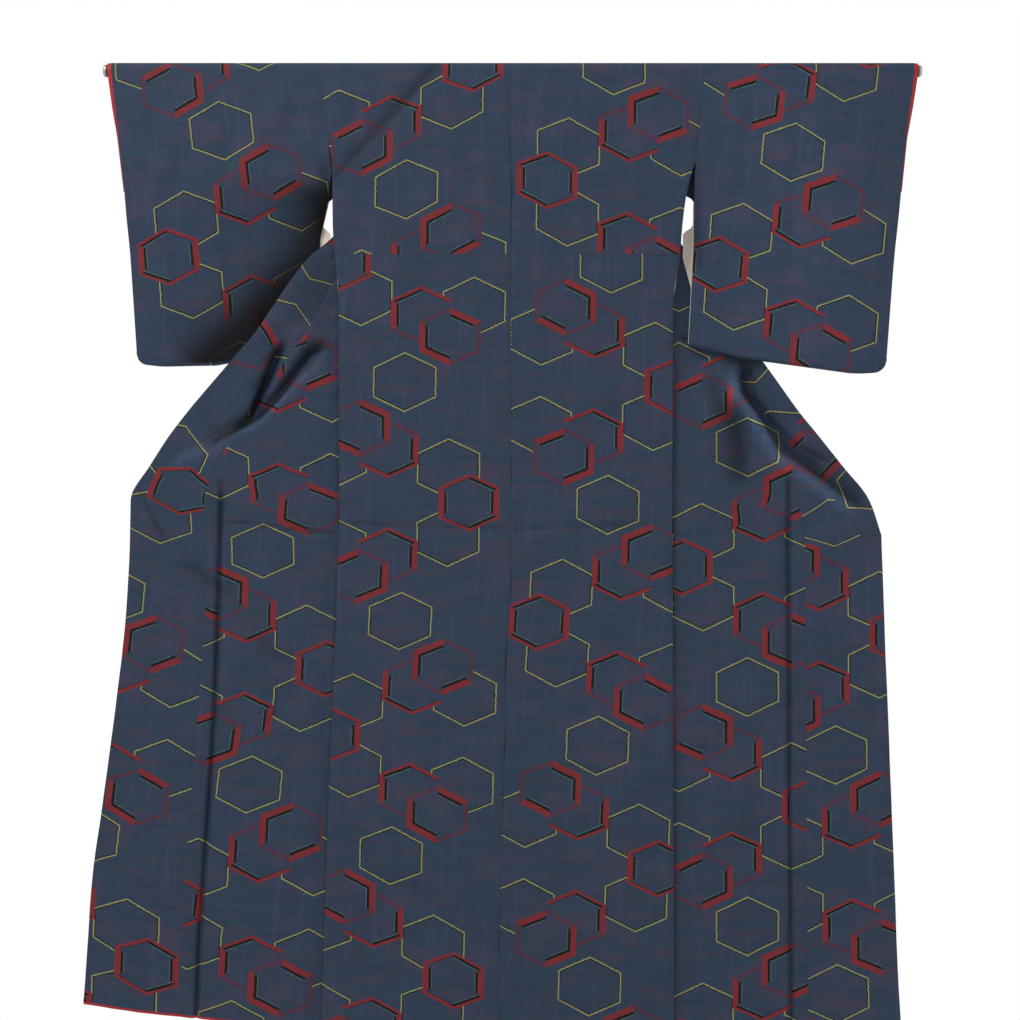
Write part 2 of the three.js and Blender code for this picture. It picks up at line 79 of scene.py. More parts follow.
COLLAR_SPOT = Sizes(out=0.4138, drop=0.5458, u=0.2818, v=0.0242, lean=22)
CUFF_REACH = pairs(0, 6.5, 60, 5, 110, 2, 200, 1.2)
BACK_STEPS = 60
OVERLAP_STEPS = 20
COLLAR_STEPS = 12
STEPS_ON_ROD = 7
SLEEVE_STEPS = 90

# Depths of the layers at each drop, in millimetres. back is the back panel, start the front's side edge, inner
# the front's first layer where it folds, and bend the radius of that fold.
LAYER_DROPS = np.array((0, 165, 204, 250, 300, 380, 545, 747, 1553)) / MM
LAYERS = {
    "back": (-11.8, -11.8, -11.3, -10.8, -10.3, -9.5, -8.5, -7.4, -6),
    "start": (11.8, 11.8, 9, 3, -3.5, -7.1, -6.1, -5, -3.6),
    "inner": (11.8, 11.8, 11.8, 11.8, 11.2, 8.5, 2, -3.4, -2.4),
    "bend": (4.5, 4.5, 4.5, 4.5, 4.5, 4.5, 3.6, 2.4, 2.2),
}

# The centre back seam drifts sideways below its gathered top: drop, x.
CENTRE = pairs(0, 0, 771, 0, 1013, -9, 1335, -17, 1553, -19)

# Each side's outlines as pairs of drop and out, unless a name says more. What ends in _place says where cloth
# lies in the pattern. Large folds of the drawn-out fronts are in millimetres: from out and drop, to out and
# drop, push towards +Y, half spread.
LEFT = Sizes(
    name="left",
    sign=-1,
    seam=pairs(0, 307, 95, 296, 165, 287, 250, 286, 380, 276, 747, 276, 1205, 294, 1553, 305),
    edge=pairs(90, 86, 120, 145, 150, 194, 204, 243, 267, 288, 309, 336, 420, 410, 568, 537, 683, 612, 752,
               613, 884, 620, 1096, 642, 1323, 673, 1553, 688),
    edge_depth=pairs(90, 20, 150, 20, 204, 18, 267, 8, 309, -1, 420, -4, 568, -3, 683, -2, 752, -1, 884, 0,
                     1553, 0),
    lift_by_out=pairs(19, 0, 304, 14, 465, 27, 600, 41, 688, 55),
    inner=pairs(0, 307, 95, 296, 165, 288, 204, 293, 267, 309, 470, 316),
    outer=pairs(0, 642, 192, 621, 304, 612, 470, 601),
    foot_by_out=pairs(286, 446, 380, 450, 449, 461, 493, 468, 589, 470, 650, 470),
    corner=0.017,
    grain=((0.150, 40), (0.300, 40), (0.560, 36), (0.690, 14), (0.760, 3), (1.553, 3)),
    band_place=(0.0299, -0.6730),
    swing=Sizes(near=0.0091, gap_share=1, sinks=True, full_to=0.330, ends_at=0.590,
                starts=0.165, full_at=0.275),
    back_place=Sizes(u=0.0063, lean=-0.0090, level=-0.0161, above=-0.0156, tilt=0.082, middle=0,
                     below=-0.0797, low_tilt=pairs(771, 0, 1077, -40, 1335, -54, 1553, -60), low_middle=0),
    front_place=(0.5722, 0.5881),
    large_folds=((352, 395, 425, 580, 7, 17), (288, 440, 446, 592, -5, 20), (600, 690, 545, 790, 3, 14),
                 (465, 680, 508, 1500, 3, 16)),
    sleeve_place=(0.0053, 0.2995, 0.094, 0.5506),
)
RIGHT = Sizes(
    name="right",
    sign=1,
    seam=pairs(0, 311, 143, 298, 165, 290, 204, 281, 250, 275, 300, 271, 380, 260, 747, 259, 1553, 262),
    edge=pairs(90, 91, 105, 121, 120, 151, 150, 193, 204, 232, 267, 268, 330, 311, 456, 398, 543, 460, 631,
               530, 700, 584, 739, 596, 781, 597, 1459, 623, 1553, 628),
    edge_depth=pairs(90, 20, 204, 20, 267, 18, 330, 13, 456, 7, 543, 3, 631, 0, 700, -1, 739, 0, 1553, 0),
    lift_by_out=pairs(0, 0, 262, 2, 628, 8),
    inner=pairs(0, 311, 143, 298, 165, 295, 290, 293, 440, 285),
    outer=pairs(0, 648, 111, 634, 208, 625, 320, 615, 480, 603),
    foot_by_out=pairs(283, 430, 401, 457, 586, 481, 660, 484),
    corner=0.020,
    grain=((0.150, 37), (0.300, 37), (0.600, 36), (0.700, 16), (0.770, 1), (1.553, 1)),
    band_place=(0.1250, -0.5210),
    swing=Sizes(near=-0.005, gap_share=0, sinks=False, full_to=0.330, ends_at=0.620,
                starts=0.165, full_at=0.400),
    back_place=Sizes(u=0.0093, lean=0.0143, level=0.1771, above=0.1774, tilt=0.084, middle=0.058,
                     below=0.1119, low_tilt=pairs(0, 50), low_middle=0.067),
    front_place=(-0.2083, 0.7986),
    large_folds=((366, 470, 560, 690, 5, 15), (325, 490, 455, 620, -5, 22), (448, 640, 448, 900, 3, 16)),
    sleeve_place=(0.3517, 0.3140, 0.113, 0.3470),
)
SIDES = (LEFT, RIGHT)

# Creases of the cloth that shows, in millimetres: how far a line of it stands towards the viewer (less than 0
# for a trough), how fast that fades on the line's left and on its right, and the line's places, out and drop.
CREASES = {
    "front_left": (
        (-15, 6, 5, 361, 427, 385, 488, 419, 562),
        (-13, 10, 8, 295, 430, 336, 474, 385, 534, 415, 562, 454, 581),
        (7.5, 7, 20, 285, 456, 330, 493, 367, 530, 396, 552, 430, 580, 494, 610, 557, 642),
        (3, 10, 10, 330, 430, 372, 500, 402, 552),
        (2.5, 6, 6, 596, 679, 578, 718, 552, 760),
        (1.8, 5, 9, 491, 686, 404, 705, 359, 723),
        (-2, 4, 4, 467, 723, 390, 731, 333, 741, 275, 742),
        (-7.5, 3.5, 6, 467, 658, 472, 852, 478, 1019, 486, 1151, 494, 1270, 504, 1407, 509, 1560),
        (-3.4, 10, 10, 541, 787, 431, 853),
        (-3, 12, 12, 420, 900, 345, 968),
        (2.4, 10, 10, 500, 800, 400, 880),
        (3, 14, 14, 340, 369, 436, 449, 517, 530),
        (-1.4, 9, 12, 291, 787, 304, 1109, 311, 1560),
        (1.6, 20, 20, 400, 860, 410, 1200, 420, 1560),
        (1.8, 20, 20, 590, 860, 610, 1200, 630, 1560),
    ),
    "front_right": (
        (8.5, 5, 20, 359, 470, 370, 522, 401, 564, 440, 613, 481, 647, 538, 683, 568, 704),
        (-12, 8, 8, 377, 457, 386, 522, 414, 560, 452, 601, 517, 639),
        (-9, 16, 16, 365, 545, 388, 650),
        (-6.5, 3.5, 6, 448, 642, 448, 787, 449, 1013, 452, 1560),
        (3.5, 14, 14, 304, 441, 340, 469, 361, 497),
        (-1.8, 5, 5, 288, 755, 369, 736, 465, 729),
        (1.6, 18, 18, 360, 860, 365, 1200, 370, 1560),
        (1.8, 20, 20, 560, 860, 570, 1200, 580, 1560),
    ),
    "back_left": (
        (-4, 10, 10, 114, -10, 203, 82, 291, 175),
        (-1.8, 3.5, 3.5, 276, 725, 147, 733, 0, 734),
        (1.2, 16, 16, 182, 79, 179, 417, 172, 787, 166, 1335),
        (-1.2, 9, 9, 259, 787, 256, 1141, 259, 1560),
        (1.2, 22, 22, 90, 800, 94, 1200, 98, 1560),
    ),
    "back_right": (
        (-1.5, 12, 12, 119, -10, 208, 95, 272, 192),
        (-1.6, 3.5, 3.5, 0, 737, 143, 733, 262, 726),
        (1.2, 16, 16, 143, 79, 147, 417, 143, 787, 140, 1335),
        (-1.2, 9, 9, 224, 787, 227, 1141, 232, 1560),
    ),
    "sleeve_left": (
        (2.2, 22, 22, 340, 14, 420, 127, 501, 288, 533, 417),
        (-1.4, 10, 10, 452, 31, 456, 208, 449, 433),
        (1.2, 14, 14, 560, 60, 556, 230, 548, 430),
    ),
    "sleeve_right": (
        (2.2, 22, 22, 328, 31, 417, 143, 497, 288, 546, 417),
        (-1.4, 10, 10, 457, 31, 454, 208, 446, 433),
        (1.2, 14, 14, 572, 60, 566, 230, 556, 430),
    ),
}
CREASE_FADES = 35

# Painted shade: the share by which the cloth's colour is darkened beside deep folds, and across the left
# sleeve next to the left front, in place of the shade they hold; it is less than 0 for a painted highlight,
# where a fold's crest is paler. The rest of a row is as above.
PAINTED_FOLD_SHADE = {
    "front_left": (
        (0.92, 7.5, 3.5, 367, 427, 388, 469, 409, 525, 421, 562, 451, 588),
        (0.72, 17, 3.5, 277, 439, 323, 455, 347, 492, 370, 525, 402, 558, 435, 576, 496, 611),
        (0.35, 26, 26, 290, 290, 320, 360, 350, 420),
        (-0.36, 5, 22, 280, 458, 330, 495, 367, 533, 398, 558, 434, 586, 500, 616, 560, 645),
        (0.32, 4.5, 4.5, 466, 640, 472, 852, 478, 1019, 486, 1151, 494, 1270, 504, 1407, 509, 1600),
        (0.3, 3, 3, 480, 723, 390, 731, 333, 741, 260, 742),
        (0.4, 3, 4, 600, 669, 578, 718, 545, 775),
        (0.22, 12, 12, 541, 787, 431, 853),
        (0.2, 14, 14, 420, 900, 345, 968),
    ),
    "front_right": (
        (0.62, 22, 2, 370, 430, 370, 517, 397, 554, 432, 611, 497, 656, 572, 711),
        (0.55, 20, 24, 352, 520, 372, 680),
        (0.65, 5, 5, 250, 424, 340, 443, 430, 462),
        (0.35, 16, 16, 310, 475, 345, 575),
        (0.55, 14, 14, 345, 448, 420, 458),
        (-0.85, 6, 12, 350, 470, 362, 520, 389, 560, 424, 617, 489, 664, 564, 719),
        (-0.22, 22, 22, 290, 470, 318, 520, 330, 580),
        (0.28, 4.5, 4.5, 448, 630, 448, 787, 449, 1013, 452, 1600),
    ),
    "back_left": (
        (0.4, 8, 12, 105, -30, 203, 82, 300, 190),
        (0.22, 3, 3, 290, 725, 147, 733, -20, 734),
    ),
    "back_right": (
        (0.2, 3, 3, -20, 737, 143, 733, 275, 726),
    ),
    "sleeve_left": (
        (0.95, 48, 48, 520, 500, 473, 456, 401, 388, 340, 320, 306, 262, 290, 170),
        (0.5, 12, 12, 300, 310, 302, 230, 296, 130),
    ),
    "sleeve_right": (
        (0.45, 10, 10, 300, 330, 292, 200, 292, 120),
        (-0.15, 130, 130, 440, -60, 450, 200, 460, 560),
    ),
}

# The weave isn't even: by the drop, how far the pattern has moved across and along, in millimetres.
DRIFTS = {
    "front_left": ((634, 0, -2), (810, 0, 12), (1013, 3, 9), (1216, 34, 9),
                   (1420, 55, -8), (1600, 65, -15)),
    "band_left": ((500, 0, 21), (672, 0, 21), (921, -9.4, 15.4), (1024, -12, 4.4),
                  (1175, -13.7, -5.5), (1443, -16, -22.5), (1600, -16, -31)),
}

# Slow waves of the hung cloth: turns in a metre across and down, and where each starts.
WAVES = ((9, 2, 0.3), (4, 6, 1.9), (14, -5, 4.1), (6, 11, 2.6), (23, 3, 5.2))
WAVE_HEIGHT = 0.0024

# Half the gap between a sleeve's two layers, and how far its far layer goes in at the armhole, by the drop.
SLEEVE_GAP = pairs(0, 11.8, 165, 11.8, 300, 9, 480, 5)
ARMHOLE_FACING = pairs(120, 0, 150, 16, 198, 16, 206, 0, 250, 0, 260, 16, 300, 16, 350, 0)
SLEEVE = Sizes(closed=0.0016, least_gap=0.003, closes_from=0.225, closes_to=0.300, closes_over=0.16,
               proud=0.0012, sinks_to=0.32, sinks_over=0.16)

# Drops at which the fronts are worked out; the rows between them are eased.
FRONT_DROPS = np.array((
    0, 20, 60, 90, 105, 120, 135, 150, 165, 204, 230, 245, 267, 300, 340, 380, 420, 456, 500, 545,
    590, 635, 690, 747, 752, 884, 1013, 1205, 1335, 1459, 1553,
)) / MM
OVER_ROD = (90, 78, 66, 54, 42, 30, 18, 9)

# The collar's sections round the corner of the neck: seam's out and reach, free edge's out and reach.
COLLAR_CORNER = (
    (None, -0.020, 0.020, -0.057),
    (0.090, 0, 0.016, -0.055),
    (0.090, 0.005, 0.013, -0.054),
    (0.090, 0.0095, 0.011, -0.054),
    (0.090, 0.0135, 0.010, -0.053),
    (0.0897, 0.0175, 0.009, -0.053),
    (0.045, 0.0179, 0.005, -0.052),
)


def smooth(t):
    t = np.clip(t, 0, 1)
    return t * t * (3 - 2 * t)


def mix(a, b, t):
    return a + (b - a) * t


def read_all(table, places, column=1):
    """Reads a table at many places between its rows."""
    table = np.asarray(table)
    return np.interp(places, table[:, 0], table[:, column])


def read(table, at):
    return float(read_all(table, at))


def layer(name, drop):
    return float(np.interp(drop, LAYER_DROPS, LAYERS[name])) / MM


def evenly(start, end, steps):
    return [mix(start, end, k / steps) for k in range(steps + 1)]


def ease_rows(places, rows, wanted):
    """Rows at the wanted places, on a smooth curve through the given rows that never overshoots them."""
    x = np.array(places)
    y = np.array(rows)
    step = np.diff(x)[:, None, None]
    slope = np.diff(y, axis=0) / step
    before, after = slope[:-1], slope[1:]
    same_way = before * after > 0
    total = np.where(same_way, before + after, 1)
    tangent = np.zeros_like(y)
    tangent[1:-1] = np.where(same_way, 2 * before * after / total, 0)
    tangent[0] = slope[0]
    tangent[-1] = slope[-1]
    out = []
    for at in wanted:
        k = min(max(int(np.searchsorted(x, at)) - 1, 0), len(x) - 2)
        h = x[k + 1] - x[k]
        t = (at - x[k]) / h
        out.append(
            (1 + 2 * t) * (1 - t) ** 2 * y[k] + t * (1 - t) ** 2 * h * tangent[k]
            + t * t * (3 - 2 * t) * y[k + 1] - t * t * (1 - t) * h * tangent[k + 1]
        )
    return np.array(out)


def crease(left, right, line, out, drop):
    """1 on a line over the cloth, fading away from it and towards its ends. All in millimetres."""
    line = np.reshape(line, (-1, 2))
    steps = np.linalg.norm(np.diff(line, axis=0), axis=1)
    done = np.concatenate([[0], np.cumsum(steps)])
    best = np.full(out.shape, np.inf)
    value = np.zeros(out.shape)
    for (from_out, from_drop), (to_out, to_drop), start, step in zip(line, line[1:], done, steps):
        way_out, way_drop = (to_out - from_out) / step, (to_drop - from_drop) / step
        across, down = out - from_out, drop - from_drop
        near = np.clip(across * way_out + down * way_drop, 0, step)
        away_out, away_drop = across - near * way_out, down - near * way_drop
        distance = np.hypot(away_out, away_drop)
        spread = np.where(away_out * way_drop - away_drop * way_out > 0, left, right)
        at_end = smooth(np.minimum(start + near, done[-1] - start - near) / CREASE_FADES)
        closer = distance < best
        best = np.where(closer, distance, best)
        value = np.where(closer, np.exp(-((distance / spread) ** 2)) * at_end, value)
    return value


def outs_and_drops(points):
    return np.abs(points[:, :, 0]), -points[:, :, 2]


def relief(name, points):
    """How far the cloth of a piece stands towards the viewer."""
    out, drop = outs_and_drops(points)
    total = np.zeros(out.shape)
    for height, left, right, *line in CREASES[name]:
        total += height / MM * crease(left, right, line, out * MM, drop * MM)
    start = sum(map(ord, name))
    for across, down, phase in WAVES:
        total += WAVE_HEIGHT / len(WAVES) * np.sin(math.tau * (across * out + down * drop) + phase + start)
    return total


def drift(name, drop):
    """How far a piece's weave strays from its even repeat, across and along."""
    table = np.array(DRIFTS.get(name, ((0, 0, 0),))) / MM
    return [read_all(table, drop, column) for column in (1, 2)]


def depth_shade(name, points):
    """Painted shade: the share by which a piece's colour is darkened beside its folds; less than 0 paints a
    highlight.
    """
    out, drop = outs_and_drops(points)
    light = np.ones(out.shape)
    for share, left, right, *line in PAINTED_FOLD_SHADE[name]:
        light *= 1 - share * crease(left, right, line, out * MM, drop * MM)
    return 1 - light


def over_rod(x, reach):
    """A point of cloth that lies on the rod; a negative reach hangs down on the far side."""
    if reach <= 0:
        return (x, HANG, reach)
    angle = reach / HANG
    return (x, HANG * math.cos(angle), HANG * math.sin(angle))


def place(side, out, depth, drop):
    """Places a point, and draws the lower part of the garment up towards its outer corners."""
    share = max(0, (drop - LIFT_STARTS) / (LENGTH - LIFT_STARTS))
    lift = read(side.lift_by_out, out) * share
    return (side.sign * out, depth, lift - drop)


def front_edge(side, drop):
    at_shoulder = side.seam[0][1] - NECK_HALF
    return mix(at_shoulder, FRONT_WIDTH, min(drop / OVERLAP.starts, 1))


def overlap_width(drop):
    if drop <= COLLAR.ends:
        return OVERLAP.top * max(0, (drop - OVERLAP.starts) / (COLLAR.ends - OVERLAP.starts))
    return mix(OVERLAP.top, OVERLAP.hem, (drop - COLLAR.ends) / (LENGTH - COLLAR.ends))


def fold_push(side, out, drop):
    """How far the large folds push the cloth; each is strongest midway and weakest at its ends."""
    push = 0
    for from_out, from_drop, to_out, to_drop, depth, spread in np.array(side.large_folds) / MM:
        along_x, along_z = to_out - from_out, to_drop - from_drop
        dot = (out - from_out) * along_x + (drop - from_drop) * along_z
        near = float(np.clip(dot / (along_x**2 + along_z**2), 0, 1))
        away = math.hypot(out - from_out - near * along_x, drop - from_drop - near * along_z)
        strength = math.sin(math.pi * float(np.clip(near, FOLD.weakest, 1 - FOLD.weakest)))
        push += depth * strength * math.exp(-((away / spread) ** 2))
    return push


class FrontLevel:
    """One level of a front: from the side edge towards the centre behind the back, round its fold, and
    out again past the side edge to the free edge."""

    def __init__(self, side, drop):
        self.side = side
        self.drop = drop
        self.seam = read(side.seam, drop)
        self.width = front_edge(side, drop) + overlap_width(drop) + COLLAR.width
        self.start = layer("start", drop)
        self.inner = layer("inner", drop)
        self.bend = layer("bend", drop)
        self.flat = drop < FOLD.starts
        self.edge = read(side.edge, drop)
        self.edge_depth = read(side.edge_depth, drop)
        self.turn = math.pi * self.bend
        middle = (self.seam + self.edge + self.turn - self.width) / 2
        self.centre = min(middle, self.seam - FOLD.least_reach)
        self.fold_at = math.inf if self.flat else self.seam - self.centre

    def first(self, out):
        return mix(self.start, self.inner, float(smooth((self.seam - out) / self.fold_at)))

    def shown(self, length):
        """1 where the cloth lies outside the side seam in the layer that is seen, 0 behind the back."""
        if self.flat or length < self.fold_at + self.turn:
            return 0
        out = abs(self.point(length)[0])
        return float(smooth((out - self.seam) / SHOWN_WITHIN))

    def point(self, length):
        side, drop = self.side, self.drop
        if self.flat:
            return place(side, self.seam - length, self.start, drop)
        if length <= self.fold_at:
            return place(side, self.seam - length, self.first(self.seam - length), drop)
        if length < self.fold_at + self.turn:
            angle = (length - self.fold_at) / self.bend
            depth = self.inner + self.bend * (1 - math.cos(angle))
            return place(side, self.centre - self.bend * math.sin(angle), depth, drop)
        share = (length - self.fold_at - self.turn) / (self.width - self.fold_at - self.turn)
        out = mix(self.centre, self.edge, share)
        if out <= self.seam:
            return place(side, out, self.first(out) + 2 * self.bend, drop)
        reach = float(np.clip(self.edge - self.seam, 0.001, FOLD.blend))
        beyond = float(smooth((out - self.seam) / reach))
        depth = mix(self.start + 2 * self.bend, self.edge_depth, beyond)
        return place(side, out, depth + beyond * fold_push(side, out, drop), drop)


def front_columns(side, level):
    """Lengths along a level: they follow the fold down, and lie evenly where it isn't in the front."""
    last = front_edge(side, level.drop)
    first_steps, bend_steps, return_steps, least = 8, 8, 84, 0.0003
    steps = first_steps + bend_steps + return_steps
    if level.fold_at + 2 * least > last:
        return evenly(0, last, steps)
    bend_end = level.fold_at + level.turn
    lengths = (
        evenly(0, level.fold_at, first_steps)
        + evenly(level.fold_at, bend_end, bend_steps)[1:]
        + evenly(bend_end, max(last, bend_end), return_steps)[1:]
    )
    return [min(length, last - (steps - k) * least) for k, length in enumerate(lengths)]


def overlap_columns(side, level):
    start = front_edge(side, level.drop)
    end = start + overlap_width(level.drop)
    inside = evenly(start, end, OVERLAP_STEPS)
    return inside + evenly(end, end + COLLAR.width, COLLAR_STEPS)[1:]


def collar_columns(side, level):
    start = front_edge(side, level.drop) + overlap_width(level.drop)
    return evenly(start, start + COLLAR.width, COLLAR_STEPS)


def fine_drops(places, step=ROW_STEP):
    """Places from the first to the last of the given ones, about a step apart, with every given one kept."""
    wanted = [places[0]]
    for a, b in zip(places, places[1:]):
        steps = max(1, round((b - a) / step))
        wanted += evenly(a, b, steps)[1:]
    return wanted


def linear(red, green, blue):
    """A colour given as it looks on a screen, from 0 to 255, as the shader takes it."""
    parts = np.array((red, green, blue)) / 255
    parts = np.where(parts <= 0.04045, parts / 12.92, ((parts + 0.055) / 1.055) ** 2.4)
    return (*parts.tolist(), 1)


class Wiring:
    """Adds nodes to a shader and links them, in short lines."""

    def __init__(self, tree):
        self.tree = tree

    def feed(self, socket, value):
        if isinstance(value, bpy.types.NodeSocket):
            self.tree.links.new(value, socket)
        else:
            socket.default_value = value

    def node(self, kind, inputs=None, **settings):
        node = self.tree.nodes.new("ShaderNode" + kind)
        for label, value in settings.items():
            setattr(node, label, value)
        for label, value in (inputs or {}).items():
            self.feed(node.inputs[label], value)
        return node

    def math(self, operation, *values):
        node = self.node("Math", operation=operation)
        for socket, value in zip(node.inputs, values):
            self.feed(socket, value)
        return node.outputs[0]

    plus = partialmethod(math, "ADD")
    minus = partialmethod(math, "SUBTRACT")
    times = partialmethod(math, "MULTIPLY")
    less = partialmethod(math, "LESS_THAN")
    more = partialmethod(math, "GREATER_THAN")

    def stretched(self, place, *scale):
        return self.node("VectorMath", {0: place, 1: scale}, operation="MULTIPLY").outputs[0]

    def parts(self, vector):
        return self.node("SeparateXYZ", {"Vector": vector}).outputs

    def join(self, *values):
        return self.node("CombineXYZ", dict(zip("XYZ", values))).outputs[0]

    def vectors(self, a, b, share):
        node = self.node("Mix", {0: share, 4: a, 5: b}, data_type="VECTOR")
        return node.outputs[1]

    def values(self, a, b, share):
        return self.node("Mix", {0: share, 2: a, 3: b}, data_type="FLOAT").outputs[0]

    def colours(self, a, b, share, way="MIX"):
        node = self.node("Mix", {0: share, 6: a, 7: b}, data_type="RGBA", blend_type=way)
        return node.outputs[2]

    def noise(self, place, scale, detail=2.0, seed=0.0):
        moved = self.node("VectorMath", {0: place, 1: (seed, seed, seed)}, operation="ADD").outputs[0]
        return self.node("TexNoise", {"Vector": moved, "Scale": scale, "Detail": detail}).outputs["Fac"]

    def strayed(self, thread, seed):
        """How far the pattern strays on a thread, to either side."""
        node = self.node("TexWhiteNoise", {"W": self.times(thread, seed)}, noise_dimensions="1D")
        return self.times(self.minus(node.outputs[0], 0.5), RAGGED.stray)

    def ramp(self, value, low, high):
        """0 up to low, 1 from high on, and smooth between."""
        node = self.node("MapRange", {"Value": value, "From Min": low, "From Max": high},
                         interpolation_type="SMOOTHSTEP")
        return node.outputs["Result"]

    def use(self, group, inputs):
        node = self.node("Group", node_tree=group)
        for label, value in inputs.items():
            self.feed(node.inputs[label], value)
        return node.outputs


SOCKETS = {"colour": "NodeSocketColor", "vector": "NodeSocketVector", "value": "NodeSocketFloat"}


def shader_group(name, inputs, outputs):
    """An empty shader group, its wiring, and its own inputs and outputs."""
    tree = bpy.data.node_groups.new(name, "ShaderNodeTree")
    for way, sockets in (("INPUT", inputs), ("OUTPUT", outputs)):
        for label, kind in sockets.items():
            tree.interface.new_socket(name=label, in_out=way, socket_type=SOCKETS[kind])
    start = tree.nodes.new("NodeGroupInput").outputs
    end = tree.nodes.new("NodeGroupOutput").inputs
    return tree, Wiring(tree), start, end


# The hexagons of the pattern, on the flat cloth: centre, half sizes, dye, and the widths of each of LINES.
# A line's widths are its colour, its shadow and its glint. A glint of less than 0 makes a line faint.
THICK = (0.0094, 0.0044, 0.0010)
MEDIUM = (0.0054, 0.0010, 0)
THIN = (0.0042, 0.0040, 0.0010)
FAINT = (0.0060, 0, -1)
NONE = (0, 0, 0)
GOLD = (0.0020, 0.0017, 0)
LINES = ("near", "far", "up_near", "up_far", "down_near", "down_far")
GOLD_LINES = (GOLD,) * len(LINES)
RED_SIZE = (0.0491, 0.0467, 0.0248)
GOLD_SIZE = (0.0505, 0.0481, 0.0240)
HEXAGONS = (
    ((0.1003, 0.0554, 0), GOLD_SIZE, "gold", GOLD_LINES),
    ((0.2818, 0.0725, 0), GOLD_SIZE, "gold", GOLD_LINES),
    ((0.1716, 0.1936, 0), GOLD_SIZE, "gold", GOLD_LINES),
    ((0.1974, 0.0861, 0), RED_SIZE, "red", (THICK, NONE, THIN, MEDIUM, FAINT, NONE)),
    ((0.0670, 0, 0), RED_SIZE, "red", (THICK, THICK, THIN, MEDIUM, THIN, MEDIUM)),
    ((0.2438, 0.1203, 0), RED_SIZE, "red", (THICK, FAINT, FAINT, THICK, THICK, FAINT)),
)
RAGGED = Sizes(step=0.0010, stray=0.0006)
REPEAT = Sizes(half=0.3872, quarter=0.1936, turn=0.3433)
DYES = {
    "ground": linear(49, 63, 83),
    "red": linear(122, 42, 48),
    "gold": linear(146, 146, 92),
    "shadow": linear(18, 16, 20),
    "glint": linear(78, 112, 110),
}


def make_hexagon_group():
    """One hexagon laid over the colour under it. Its inside hides what lies beneath."""
    inputs = {"Under": "colour", "Ground": "colour", "Dye": "colour", "Place": "vector", "Centre": "vector",
              "Size": "vector"}
    inputs.update({line: "vector" for line in LINES})
    tree, w, start, end = shader_group("kasuri hexagon", inputs, {"Colour": "colour"})
    offset = w.node("VectorMath", {0: start["Place"], 1: start["Centre"]}, operation="SUBTRACT")
    x, y, _ = w.parts(offset.outputs[0])
    half_width, half_height, half_side = w.parts(start["Size"])
    out_x, out_y = w.math("ABSOLUTE", x), w.math("ABSOLUTE", y)
    to_side = w.minus(half_width, out_x)
    rise = w.math("DIVIDE", w.minus(half_height, half_side), half_width)
    to_slope = w.minus(w.minus(half_height, out_y), w.times(rise, out_x))
    to_slope = w.times(to_slope, 0.913)
    inward = w.math("MINIMUM", to_side, to_slope)
    far = w.more(x, 0.0)
    down = w.more(y, 0.0)
    upper = w.vectors(start["up_near"], start["up_far"], far)
    lower = w.vectors(start["down_near"], start["down_far"], far)
    sides = w.vectors(start["near"], start["far"], far)
    widths = w.vectors(w.vectors(upper, lower, down), sides, w.less(to_side, to_slope))
    line, shadow, glint = w.parts(widths)
    inside = w.more(inward, 0.0)
    colour = w.colours(start["Under"], start["Ground"], inside)
    inside = w.times(inside, w.values(1.0, 0.30, w.less(glint, 0.0)))
    dark_to = w.plus(line, shadow)
    for reach, dye in ((w.plus(dark_to, glint), DYES["glint"]), (dark_to, DYES["shadow"]),
                       (line, start["Dye"])):
        share = w.times(inside, w.less(inward, reach))
        colour = w.colours(colour, dye, share)
    w.feed(end["Colour"], colour)
    return tree


def make_weave_group():
    """Plain weave: staggered dots of weft on the darker warp, and the threads' uneven thickness."""
    tree, w, start, end = shader_group("plain weave", {"Place": "vector", "Across": "value", "Down": "value"},
                                       {"Dots": "value", "Height": "value"})
    u, v, _ = w.parts(start["Place"])
    across = w.math("COSINE", w.times(w.math("DIVIDE", u, start["Across"]), math.tau))
    down = w.math("COSINE", w.times(w.math("DIVIDE", v, start["Down"]), math.tau))
    dots = w.ramp(w.times(across, down), -0.25, 0.55)
    slubs = w.noise(w.stretched(start["Place"], 60, 900, 1), 1.0)
    w.feed(end["Dots"], dots)
    w.feed(end["Height"], w.plus(w.times(dots, 0.6), slubs))
    return tree


